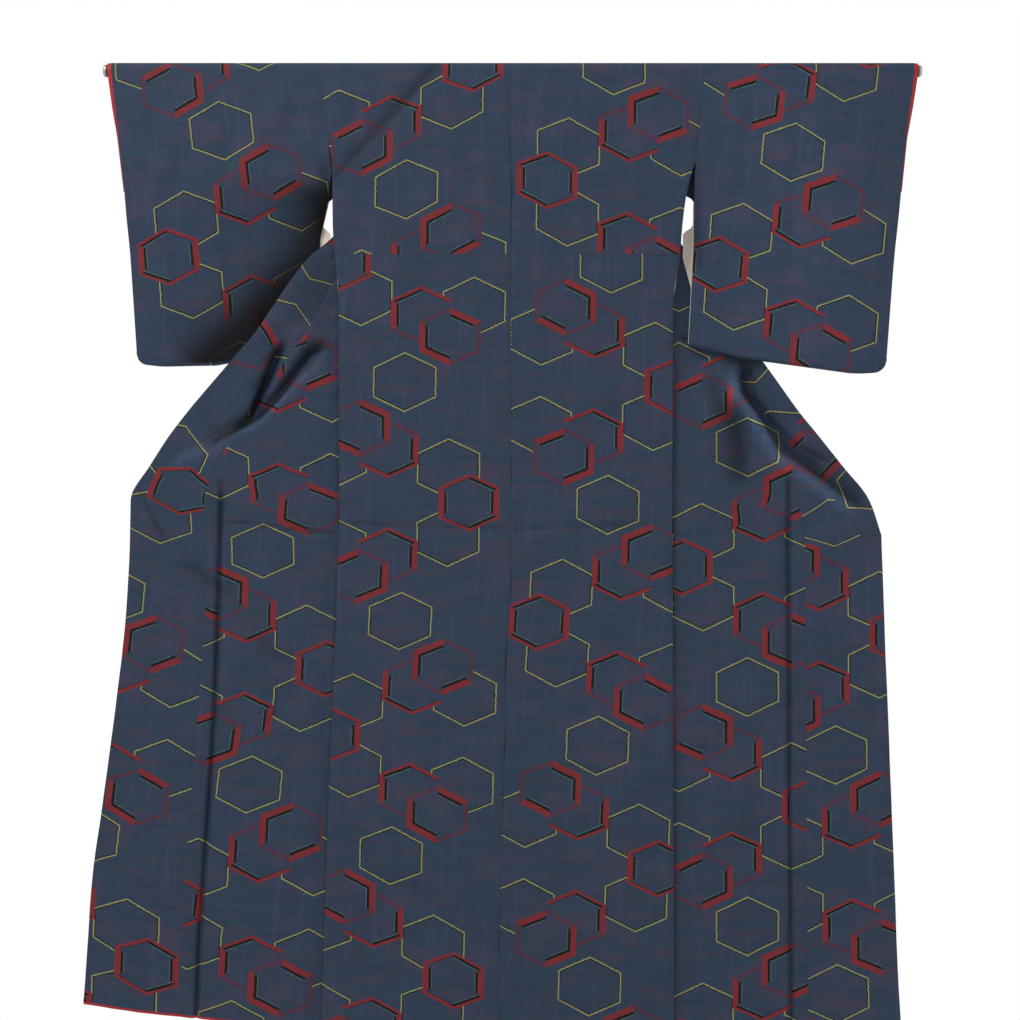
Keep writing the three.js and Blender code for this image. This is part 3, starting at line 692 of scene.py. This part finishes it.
def make_kasuri_group(hexagon, weave):
    """The whole repeat: it is mirrored from top to bottom, and turns about the middle of each half."""
    tree, w, start, end = shader_group("kasuri", {"Place": "vector"}, {"Colour": "colour", "Height": "value"})
    place = start["Place"]
    u, v, _ = w.parts(place)
    column, row = w.math("SNAP", u, RAGGED.step), w.math("SNAP", v, RAGGED.step)
    u = w.plus(column, w.strayed(row, 977.0))
    v = w.plus(row, w.strayed(column, 953.0))
    folded = w.math("PINGPONG", v, REPEAT.half)
    turned = w.more(folded, REPEAT.quarter)
    u = w.values(u, w.minus(REPEAT.turn, u), turned)
    folded = w.values(folded, w.minus(REPEAT.half, folded), turned)
    spot = w.join(u, folded, 0.0)

    streaks = w.noise(w.stretched(place, 9, 150, 1), 1.0, 3.0)
    tints = w.noise(w.stretched(place, 14, 90, 1), 1.0, 2.0, 7.3)
    uprights = w.noise(w.stretched(place, 120, 7, 1), 1.0, 2.0, 3.1)
    clouds = w.noise(w.stretched(place, 16, 30, 1), 1.0, 2.0, 5.7)
    ground = DYES["ground"]
    for tint, field, low, high, share in (
        (linear(44, 58, 78), streaks, 0.40, 0.66, 1.0),
        (linear(66, 62, 84), clouds, 0.50, 0.68, 0.6),
        (linear(88, 54, 68), tints, 0.56, 0.70, 0.22),
        (linear(36, 70, 82), tints, 0.44, 0.30, 0.4),
        (linear(60, 68, 98), uprights, 0.55, 0.70, 0.5),
    ):
        ground = w.colours(ground, tint, w.times(w.ramp(field, low, high), share))
    colour = ground
    for centre, size, dye, lines in HEXAGONS:
        given = {"Under": colour, "Ground": ground, "Dye": DYES[dye], "Place": spot, "Centre": centre}
        given.update(Size=size, **dict(zip(LINES, lines)))
        colour = w.use(hexagon, given)["Colour"]
    threads = w.use(weave, {"Place": place, "Across": 0.0030, "Down": 0.0024})
    shade = w.values(0.62, 1.30, threads["Dots"])
    shade = w.times(shade, w.values(0.95, 1.05, streaks))
    w.feed(end["Colour"], w.colours(colour, w.join(shade, shade, shade), 1.0, "MULTIPLY"))
    w.feed(end["Height"], threads["Height"])
    return tree


def new_material(name, roughness, gloss=0.3, sheen=0.0, tint=(1, 1, 1, 1)):
    material = bpy.data.materials.new(name)
    material.use_nodes = True
    shader = material.node_tree.nodes["Principled BSDF"]
    shader.inputs["Roughness"].default_value = roughness
    shader.inputs["Specular IOR Level"].default_value = gloss
    shader.inputs["Sheen Weight"].default_value = sheen
    shader.inputs["Sheen Roughness"].default_value = 0.35
    shader.inputs["Sheen Tint"].default_value = tint
    w = Wiring(material.node_tree)
    return material, w, shader, w.node("TexCoord").outputs["Object"]


def surface(w, shader, colour, height, strength, distance):
    """Links a material's colour, and its relief as a bump."""
    w.feed(shader.inputs["Base Color"], colour)
    node = w.node("Bump", {"Height": height, "Strength": strength, "Distance": distance})
    w.feed(shader.inputs["Normal"], node.outputs["Normal"])


def make_kasuri(kasuri):
    material, w, shader, _ = new_material("kasuri cloth", 0.6, 0.16, 0.05, (0.5, 0.7, 1, 1))
    made = w.use(kasuri, {"Place": w.node("UVMap", uv_map="cloth").outputs["UV"]})
    # Painted shade and highlight: the fold shade darkens the cloth's colour beside deep folds and lightens it
    # where it is below 0.
    light = w.minus(1.0, w.node("Attribute", attribute_name="depth_shade").outputs["Fac"])
    colour = w.colours(made["Colour"], w.join(light, light, light), 1.0, "MULTIPLY")
    surface(w, shader, colour, made["Height"], 0.35, 0.0004)
    return material


def make_lining(weave):
    """Off-white silk, red towards the hem and at the sleeves' mouths, with painted shade at the armholes: a
    dark navy strip there.
    """
    material, w, shader, place = new_material("silk lining", 0.5, 0.3, 0.1)
    x, _, z = w.parts(place)
    out = w.math("ABSOLUTE", x)
    at_mouth = w.times(w.more(out, LINED.mouth_from), w.more(z, LINED.mouth_above))
    red = w.math("MAXIMUM", w.ramp(z, *LINED.red_heights), at_mouth)
    # Painted shade: the lining is dark navy at the armholes, where the gap between sleeve and back lies in
    # shade.
    armhole_shade = w.times(w.less(out, LINED.facing_to), w.more(out, LINED.facing_from))
    armhole_shade = w.times(armhole_shade, w.ramp(z, *LINED.facing_heights))
    cloudy = w.noise(place, 9.0, 3.0)
    cream = w.colours(linear(226, 220, 208), linear(212, 204, 190), cloudy)
    deep = w.colours(linear(158, 32, 36), linear(140, 26, 32), cloudy)
    colour = w.colours(w.colours(cream, deep, red), linear(36, 44, 62), armhole_shade)
    threads = w.use(weave, {"Place": w.join(x, z, 0.0), "Across": 0.0012, "Down": 0.0010})
    surface(w, shader, colour, threads["Height"], 0.2, 0.0002)
    return material


def make_red_edge(weave):
    material, w, shader, place = new_material("red lining edge", 0.5, 0.3, 0.1)
    threads = w.use(weave, {"Place": place, "Across": 0.0014, "Down": 0.0014})
    colour = w.colours(linear(176, 34, 38), linear(140, 24, 30), w.noise(place, 60.0))
    surface(w, shader, colour, threads["Height"], 0.3, 0.0003)
    return material


def make_lacquer():
    """Dark brown lacquer over wood, faintly mottled, with finer scratches."""
    material, w, shader, place = new_material("rod lacquer", 0.3)
    grain = w.noise(w.stretched(place, 6, 160, 160), 1.0, 4.0)
    colour = w.colours(linear(44, 28, 20), linear(78, 48, 30), w.ramp(grain, 0.45, 0.75))
    w.feed(shader.inputs["Roughness"], w.values(0.22, 0.42, w.noise(place, 140.0, 3.0)))
    shader.inputs["Coat Weight"].default_value = 0.5
    shader.inputs["Coat Roughness"].default_value = 0.12
    surface(w, shader, colour, grain, 0.15, 0.0003)
    return material


def make_steel():
    material, w, shader, place = new_material("brushed steel", 0.35)
    brushed = w.noise(w.stretched(place, 1800, 60, 60), 1.0, 3.0)
    colour = w.colours(linear(196, 194, 190), linear(168, 166, 164), brushed)
    w.feed(shader.inputs["Roughness"], w.values(0.24, 0.42, brushed))
    shader.inputs["Metallic"].default_value = 0.9
    surface(w, shader, colour, brushed, 0.2, 0.0002)
    return material


# Where the lining is red, and where painted shade, a dark navy strip, darkens it at the armholes.
LINED = Sizes(mouth_from=0.550, mouth_above=-0.5, red_heights=(-0.9195, -0.9205), facing_from=0.250,
              facing_to=0.324, facing_heights=(-0.214, -0.206))
WEAVE = make_weave_group()
KASURI = make_kasuri(make_kasuri_group(make_hexagon_group(), WEAVE))
LINING = make_lining(WEAVE)
RED_EDGE = make_red_edge(WEAVE)
LACQUER = make_lacquer()
STEEL = make_steel()


def new_piece(name, points, faces):
    """A mesh object from points and faces, left selected and active."""
    mesh = bpy.data.meshes.new(name)
    mesh.from_pydata(points.reshape(-1, 3).tolist(), [], faces)
    piece = bpy.data.objects.new(name, mesh)
    bpy.context.scene.collection.objects.link(piece)
    bpy.context.view_layer.objects.active = piece
    piece.select_set(True)
    return piece


def clean(operator):
    """Runs an operator on the whole of the active mesh, and shades it smooth."""
    bpy.ops.object.mode_set(mode="EDIT")
    bpy.ops.mesh.select_all(action="SELECT")
    operator()
    bpy.ops.object.mode_set(mode="OBJECT")
    bpy.ops.object.shade_smooth()


def cloth(name, points, pattern, shade, closed=False, kept=None):
    """A thin wall of cloth from a grid of points, lined on its inner side.

    The places in the pattern are its UV map. kept says which of the grid's cells it has.
    """
    rows, columns = points.shape[:2]
    cell_rows = rows if closed else rows - 1
    i, j = np.meshgrid(np.arange(cell_rows), np.arange(columns - 1), indexing="ij")
    here, below = i * columns + j, (i + 1) % rows * columns + j
    corners = np.stack([here, here + 1, below + 1, below], axis=-1)
    corners = corners[kept] if kept is not None else corners.reshape(-1, 4)
    piece = new_piece(name, points, corners.tolist())
    uv = piece.data.uv_layers.new(name="cloth")
    places = np.asarray(pattern).reshape(-1, 2)[corners.reshape(-1)]
    uv.data.foreach_set("uv", places.astype(np.float32).reshape(-1))
    # Painted shade: the fold shade is kept on the points, and the cloth's material darkens or lightens its
    # colour by it.
    painted_shade_attribute = piece.data.attributes.new("depth_shade", "FLOAT", "POINT")
    painted_shade_attribute.data.foreach_set("value", shade.astype(np.float32).reshape(-1))
    clean(bpy.ops.mesh.delete_loose)
    for material in (KASURI, LINING):
        piece.data.materials.append(material)
    wall = piece.modifiers.new("wall", "SOLIDIFY")
    wall.thickness, wall.offset, wall.use_even_offset = CLOTH, 0, False
    wall.material_offset = 1
    bpy.ops.object.modifier_apply(modifier="wall")
    bpy.ops.object.shade_smooth_by_angle(angle=math.radians(55))
    piece.select_set(False)
    return piece


def lip(name, line, ways, reaches):
    """A thin rounded lip of lining along an edge: its line, the ways it faces and how far it reaches."""
    line, ways, reaches = np.array(line), np.array(ways), np.array(reaches)
    along = np.gradient(line, axis=0)
    across = np.cross(along, ways)
    across /= np.linalg.norm(across, axis=1)[:, None]
    turns = math.tau * np.arange(LIP_SIDES) / LIP_SIDES
    rings = (
        line[:, None]
        + ways[:, None] * (reaches[:, None, None] * np.cos(turns)[None, :, None])
        + across[:, None] * (LIP_HALF * np.sin(turns)[None, :, None])
    )
    sides, last = range(LIP_SIDES), (len(line) - 1) * LIP_SIDES
    faces = [[a + b, a + (b + 1) % LIP_SIDES, a + LIP_SIDES + (b + 1) % LIP_SIDES, a + LIP_SIDES + b]
             for a in range(0, last, LIP_SIDES) for b in sides]
    faces += [list(sides), [last + k for k in sides]]
    piece = new_piece(name, rings, faces)
    clean(bpy.ops.mesh.normals_make_consistent)
    piece.select_set(False)
    return piece


def finish_piece(piece, node):
    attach(piece, "root")
    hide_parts(node)


def back_pattern(side, across, drop):
    """Where a back's cloth lies in the pattern, above the tuck and below it."""
    at = side.back_place
    u = across + at.u + at.lean * (drop - at.level)
    above = drop - at.above - at.tilt * ((u if side is LEFT else across) - at.middle)
    below = drop - at.below - read_all(at.low_tilt, drop) * (u - at.low_middle)
    return np.stack([u, np.where(drop < TUCK, above, below)], axis=-1)


def widths(side, drop):
    """The widths of a front and of its overlap at each of many drops."""
    return np.vectorize(lambda d: front_edge(side, d))(drop), np.vectorize(overlap_width)(drop)


def front_pattern(side, length, drop):
    """Where a front's cloth lies in the pattern; length runs from the side seam."""
    front, overlap = widths(side, drop)
    out = read_all(side.edge, drop) - (front + overlap + COLLAR.width - length)
    across, along = drift(f"front_{side.name}", drop)
    start, level = side.front_place
    return np.stack([start + side.sign * out + across, drop - level + along], axis=-1)


def band_pattern(side, length, drop):
    """Where an overlap's or a collar's cloth lies in the pattern. Its grain turns with the drawn-out edge."""
    front, overlap = widths(side, drop)
    fine = np.linspace(0, LENGTH, 600)
    turn = np.radians(read_all(side.grain, fine))
    along = np.concatenate([[0], np.cumsum(np.diff(fine) / np.cos(turn[1:]))])
    along += LENGTH - along[-1]
    angle = np.interp(drop, fine, turn)
    from_edge = front + overlap + COLLAR.width - length
    start_u, start_v = side.band_place
    across, further = drift(f"band_{side.name}", drop)
    u = (length - front) * np.cos(angle) + start_u + across
    v = np.interp(drop, fine, along) - np.sin(angle) * from_edge + start_v + further
    return np.stack([u, v], axis=-1)


def right_collar_pattern(points):
    """The right collar's grain leans less than its edge does, and its pattern runs the other way across."""
    out, drop = points[:, :, 0] - COLLAR_SPOT.out, -points[:, :, 2] - COLLAR_SPOT.drop
    lean = math.radians(COLLAR_SPOT.lean)
    u = COLLAR_SPOT.u - (out * math.cos(lean) - drop * math.sin(lean))
    v = COLLAR_SPOT.v + out * math.sin(lean) + drop * math.cos(lean)
    return np.stack([u, v], axis=-1)


def sleeve_pattern(side, mouth, out, drop):
    """Where a sleeve's cloth lies in the pattern; mouth is the distance from its mouth."""
    start, level, tilt, middle = side.sleeve_place
    return (start - side.sign * mouth, drop - level - tilt * (out - middle))


def split(grid):
    """A grid's points, and each of the measures that it carries besides."""
    return grid[:, :, :3].copy(), *(grid[:, :, column] for column in range(3, grid.shape[2]))


def seam_dip(distance):
    """How deep the cloth is drawn in beside a seam."""
    return SEAM_DIP * np.exp(-((distance / SEAM_REACH) ** 2))


def make_back(side):
    places = sorted({*side.seam[:, 0], *CENTRE[:, 0], *LAYER_DROPS, *TUCK_ROWS})
    rows = []
    for drop in places:
        seam = read(side.seam, drop)
        centre = side.sign * read(CENTRE, drop)
        outs = seam_columns(centre, seam)
        depth = layer("back", drop)
        rows.append([(*place(side, out, depth, drop), out - centre, seam - out, drop) for out in outs])
    hung = ease_rows(places, rows, fine_drops(places))
    top = []
    seam = side.seam[0][1]
    for angle in OVER_ROD:
        reach = HANG * math.radians(180 - angle)
        top.append([
            (*over_rod(side.sign * out, reach), out, seam - out, -HANG * math.radians(angle))
            for out in seam_columns(0, seam)
        ])
    points, from_centre, from_side, drop = split(np.concatenate([np.array(top), hung]))
    proud = relief(f"back_{side.name}", points)
    proud = np.maximum(proud + BACK_PROUD, 0) * smooth(drop / BACK_EASE.rod)
    proud -= seam_dip(from_centre) * smooth((drop + BACK_EASE.above_rod) / (2 * BACK_EASE.above_rod))
    proud += TUCK_HEIGHT * np.exp(-np.maximum(TUCK - drop, 0) / BACK_EASE.tuck) * (drop < TUCK)
    proud *= smooth((from_side + BACK_EASE.past_side) / BACK_EASE.side)
    # Painted shade beside the back's folds.
    shade = depth_shade(f"back_{side.name}", points)
    points[:, :, 1] -= proud
    return points, back_pattern(side, from_centre, drop), shade


def seam_columns(start, end):
    """Places across a back, closer together beside its two seams."""
    close = [0, 0.0015, 0.003, 0.0045, 0.007]
    between = evenly(start + 0.010, end - 0.010, BACK_STEPS)
    return [start + c for c in close] + between + [end - c for c in close[::-1]]


def make_front_rows(side, columns, places):
    """Rows of a front's piece at the given drops, eased between them: points, lengths and drops."""
    rows = []
    for drop in places:
        level = FrontLevel(side, drop)
        rows.append([(*level.point(at), at, drop, level.shown(at)) for at in columns(side, level)])
    grid = ease_rows(places, rows, fine_drops(places))
    points, lengths, drops, shown = split(grid)
    proud = relief(f"front_{side.name}", points)
    proud -= 0.5 * seam_dip(lengths - widths(side, drops)[0])
    # Painted shade beside the front's folds, only on the cloth that is seen.
    shade = depth_shade(f"front_{side.name}", points) * shown
    points[:, :, 1] -= proud * shown
    return points, lengths, drops, shade


def make_front(side):
    hung, lengths, drops, shade = make_front_rows(side, front_columns, FRONT_DROPS)
    level = FrontLevel(side, 0)
    columns = np.array(front_columns(side, level))
    top = []
    for angle in OVER_ROD:
        reach = HANG * math.radians(angle)
        top.append([over_rod(side.sign * (side.seam[0][1] - length), reach) for length in columns])
    over = np.radians(OVER_ROD)[:, None] * -HANG + np.zeros_like(columns)
    lengths = np.concatenate([np.tile(columns, (len(OVER_ROD), 1)), lengths])
    drops = np.concatenate([over, drops])
    shade = np.concatenate([np.zeros((len(OVER_ROD), len(columns))), shade])
    return np.concatenate([np.array(top), hung]), front_pattern(side, lengths, drops), shade


def make_overlap(side):
    places = [drop for drop in FRONT_DROPS if drop >= OVERLAP.first_row]
    points, lengths, drops, shade = make_front_rows(side, overlap_columns, places)
    kept = np.ones((points.shape[0] - 1, points.shape[1] - 1), bool)
    kept[drops[:-1, 0] < COLLAR.ends - 1e-6, OVERLAP_STEPS:] = False
    pattern = band_pattern(side, lengths, drops)
    if side is RIGHT:
        upper = drops < OVERLAP.pattern_from
        pattern[upper] = front_pattern(side, lengths, drops)[upper]
    return points, pattern, shade, kept


def neck_reaches(seam_reach, free_reach):
    if seam_reach <= 0:
        return evenly(seam_reach, free_reach, COLLAR_STEPS)
    return evenly(seam_reach, 0, STEPS_ON_ROD) + evenly(0, free_reach, COLLAR_STEPS - STEPS_ON_ROD)[1:]


def collar_half(side):
    """The collar's rows from its lower end to the back of the neck, and their places in the pattern."""
    places = [d for d in FRONT_DROPS if COLLAR.corner <= d <= COLLAR.ends]
    points, lengths, drops, shade = make_front_rows(side, collar_columns, places)
    pattern = band_pattern(side, lengths, drops) if side is LEFT else right_collar_pattern(points)
    pattern = list(pattern[::-1])
    shade = list(shade[::-1])
    rows = list(points[::-1])
    shoulder = side.seam[0][1] - front_edge(side, 0)
    low = read(side.seam, COLLAR.corner) - front_edge(side, COLLAR.corner)
    sections = list(COLLAR_CORNER) + [(0, HANG * math.pi / 2, 0, -COLLAR.neck_drop)]
    for seam_out, seam_reach, free_out, free_reach in sections:
        if seam_out is None:
            seam_out = mix(shoulder, low, -seam_reach / COLLAR.corner)
        whole = seam_reach - free_reach
        row = []
        for reach in neck_reaches(seam_reach, free_reach):
            out = mix(seam_out, free_out, (seam_reach - reach) / whole)
            row.append(over_rod(side.sign * out, reach))
        rows.append(np.array(row))
        step = float(np.linalg.norm(rows[-1][COLLAR_STEPS // 2] - rows[-2][COLLAR_STEPS // 2]))
        pattern.append(pattern[-1] - np.array((0, step)))
        shade.append(np.zeros(len(row)))
    return rows, pattern, shade


def make_collar():
    left, left_pattern, left_shade = collar_half(LEFT)
    right, right_pattern, right_shade = collar_half(RIGHT)
    right[-1] = right[-1] + np.array((0.0002, 0, 0))
    return [np.array(a + b[::-1]) for a, b in (
        (left, right), (left_pattern, right_pattern), (left_shade, right_shade))]


def sleeve_point(side, across, near, share):
    """A place on one layer of a sleeve. across runs from the body to the mouth, share from the rod down."""
    inner = read(side.inner, 0)
    outer = read(side.outer, 0)
    foot = read(side.foot_by_out, mix(inner, outer, across))
    corner = side.corner
    cut = max(0, corner - (1 - across) * (outer - inner))
    rounding = corner - math.sqrt(corner**2 - cut**2)
    drop = share * (foot - rounding)
    start = read(side.inner, drop) - (0 if near else read(ARMHOLE_FACING, drop))
    out = mix(start, read(side.outer, drop), across)
    closing = smooth((drop - SLEEVE.closes_from) / (SLEEVE.closes_to - SLEEVE.closes_from))
    at_mouth = smooth((across - 1 + SLEEVE.closes_over) / SLEEVE.closes_over)
    gap = read(SLEEVE_GAP, drop)
    half = mix(gap, SLEEVE.closed, float(closing * at_mouth))
    swing = side.swing
    inward = 1 - smooth((out - swing.full_to) / (swing.ends_at - swing.full_to))
    down = smooth((drop - swing.starts) / (swing.full_at - swing.starts))
    middle = (swing.near + swing.gap_share * gap) * float(inward * down)
    sunk = 0
    if near and swing.sinks:
        sunk = max(0, 2 * half - SLEEVE.least_gap) * float(
            down * (1 - smooth((out - SLEEVE.sinks_to) / SLEEVE.sinks_over)))
    return Sizes(out=out, depth=middle + (sunk - half if near else half), drop=drop, middle=middle, half=half,
                 mouth=read(side.outer, drop) - out)


SLEEVE_COLUMNS = evenly(0, 0.9, 62) + [0.92, 0.94, 0.955, 0.968, 0.978, 0.986, 0.993, 1]


def make_sleeve(side):
    """A sleeve's tube from the top of the rod down its near layer, round the foot and up its far layer."""
    shares = evenly(0, 1, SLEEVE_STEPS)
    rows = []
    sign = side.sign
    around = math.pi * HANG

    def add_row(share, near, spot):
        """spot gives the depth, how far a point lies below its drop, the drop in the cloth, the relief."""
        row = []
        for across in SLEEVE_COLUMNS:
            p = sleeve_point(side, across, near, share)
            depth, below, drop, strength = spot(p)
            where = (sign * p.out, depth, -p.drop - below)
            row.append((*where, *sleeve_pattern(side, p.mouth, p.out, drop), strength))
        rows.append(row)

    for angle in range(9, 180, 9):
        _, depth, height = over_rod(0, HANG * math.radians(angle))
        add_row(0, True, lambda p: (depth, -height, HANG * math.radians(angle) - around, 0))
    for share in shares:
        add_row(share, True, lambda p: (p.depth, 0, p.drop, -1))
    for turn in (-0.5, 0, 0.5):
        low, deep = math.cos(math.pi / 2 * turn), math.sin(math.pi / 2 * turn)
        add_row(1, True, lambda p: (p.middle + p.half * deep, p.half * low, p.drop + p.half * (1 + turn), 0))
    for share in shares[::-1]:
        add_row(share, False, lambda p: (p.depth, 0, -around - p.drop, 1))
    points, u, v, layer_sign = split(np.array(rows))
    _, drop = outs_and_drops(points)
    across = np.array(SLEEVE_COLUMNS)[None, :]
    foot = drop.max(axis=0)[None, :]
    loose = smooth(drop / SLEEVE_EASE.rod) * smooth((foot - drop) / SLEEVE_EASE.foot)
    loose = loose * smooth((1 - across) / SLEEVE_EASE.mouth)
    loose = loose * smooth((across + SLEEVE_EASE.past_seam) / SLEEVE_EASE.seam)
    name = f"sleeve_{side.name}"
    proud = relief(name, points) + SLEEVE.proud
    # Painted shade on the sleeve's near layer, beside its folds and next to the left front.
    shade = depth_shade(name, points) * (layer_sign < 0)
    points[:, :, 1] += layer_sign * loose * proud
    return points, np.stack([u, v], axis=-1), shade


def make_mouth_edge(side, points):
    """The lining's red edge from low on one layer of the sleeve's mouth, over the rod, to low on the other."""
    half = len(points) // 2
    line = [points[k, -1] for k in range(half, -half, -1) if -points[k, -1, 2] < CUFF_REACH[-1][0]]
    ways = [(side.sign, 0, 0)] * len(line)
    reaches = [read(CUFF_REACH, max(-place[2], 0)) for place in line]
    return lip(f"kimono_mouth_edge_{side.name}", line, ways, reaches)


def make_hem_edge(name, line):
    return lip(f"kimono_hem_edge_{name}", line, [(0, 0, -1)] * len(line), [HEM_EDGE] * len(line))


def sew(part, side, grids, **options):
    """Makes a piece of one side. The right side mirrors the left, so its columns are turned about there, for
    the pattern to be outside."""
    name = f"{part}_{side.name}"
    pieces[name] = cloth(f"kimono_{name}", *(grid[:, ::-side.sign] for grid in grids), **options)


def make_garment():
    """Makes every piece of cloth and its red edges."""
    hems = {}
    for side in SIDES:
        back, front, (*overlap, kept), sleeve = (
            make(side) for make in (make_back, make_front, make_overlap, make_sleeve))
        hems[side.name] = back[0][-1]
        hem = np.concatenate([front[0][-1][:-1], overlap[0][-1]])
        sew("back", side, back)
        sew("front", side, front)
        edges[f"hem_edge_front_{side.name}"] = make_hem_edge(f"front_{side.name}", hem)
        sew("overlap", side, overlap, kept=kept[:, ::-side.sign])
        edges[f"mouth_edge_{side.name}"] = make_mouth_edge(side, sleeve[0])
        sew("sleeve", side, sleeve, closed=True)
    pieces["collar"] = cloth("kimono_collar", *(grid[:, ::-1] for grid in make_collar()))
    hem = np.concatenate([hems["left"][::-1], hems["right"][1:]])
    edges["hem_edge_back"] = make_hem_edge("back", hem)


pieces = {}
edges = {}
make_garment()

for node, piece in pieces.items():
    finish_piece(piece, node)
for node, piece in edges.items():
    piece.data.materials.append(RED_EDGE)
    finish_piece(piece, node)

# The rod takes the lacquer, and its caps the brushed steel.
for node, material in (("rod", LACQUER), ("rod_cap_left", STEEL), ("rod_cap_right", STEEL)):
    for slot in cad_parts[node].material_slots:
        slot.material = material


# Stage
bpy.ops.mesh.primitive_plane_add(size=1, location=(0, 0, -1.62), scale=(2.3, 0.86, 1))
floor = bpy.context.object
floor.name = "floor"
floor.scale = (2.3, 0.86, 1)
pale, wiring, shader, spot = new_material("pale floor", 0.9)
mottled = wiring.colours(linear(240, 240, 238), linear(232, 232, 230), wiring.noise(spot, 3.0))
wiring.feed(shader.inputs["Base Color"], mottled)
floor.data.materials.append(pale)
floor.select_set(False)

scene = bpy.context.scene
scene.view_settings.view_transform = "Standard"
world = bpy.data.worlds.new("studio")
scene.world = world
world.use_nodes = True
wiring = Wiring(world.node_tree)
seen = wiring.node("LightPath").outputs["Is Camera Ray"]
background = world.node_tree.nodes["Background"]
background.inputs["Color"].default_value = (1, 1, 1, 1)
wiring.feed(background.inputs["Strength"], wiring.values(0.74, 1.0, seen))

for name, at, size, power in (
    ("key", (-1.8, -2.0, 2.0), 1.2, 60),
    ("fill", (2.4, -2.6, -0.4), 2.0, 6),
    ("back", (0.6, 2.6, 0.6), 2.0, 34),
):
    lamp = bpy.data.lights.new(name, "AREA")
    lamp.shape = "SQUARE"
    lamp.size = size
    lamp.energy = power
    holder = bpy.data.objects.new(name, lamp)
    holder.location = at
    holder.rotation_euler = (Vector((0, 0, -0.7)) - Vector(at)).to_track_quat("-Z", "Y").to_euler()
    scene.collection.objects.link(holder)

FRAME_WIDTH = 1.642
DISTANCE = 4.0
lens = bpy.data.cameras.new("camera")
lens.sensor_width = 36
lens.lens = lens.sensor_width * DISTANCE / FRAME_WIDTH
camera = bpy.data.objects.new("camera", lens)
camera.location = (-0.0016, -DISTANCE, -0.7068)
camera.rotation_euler = (math.radians(90), 0, 0)
scene.collection.objects.link(camera)
scene.camera = camera
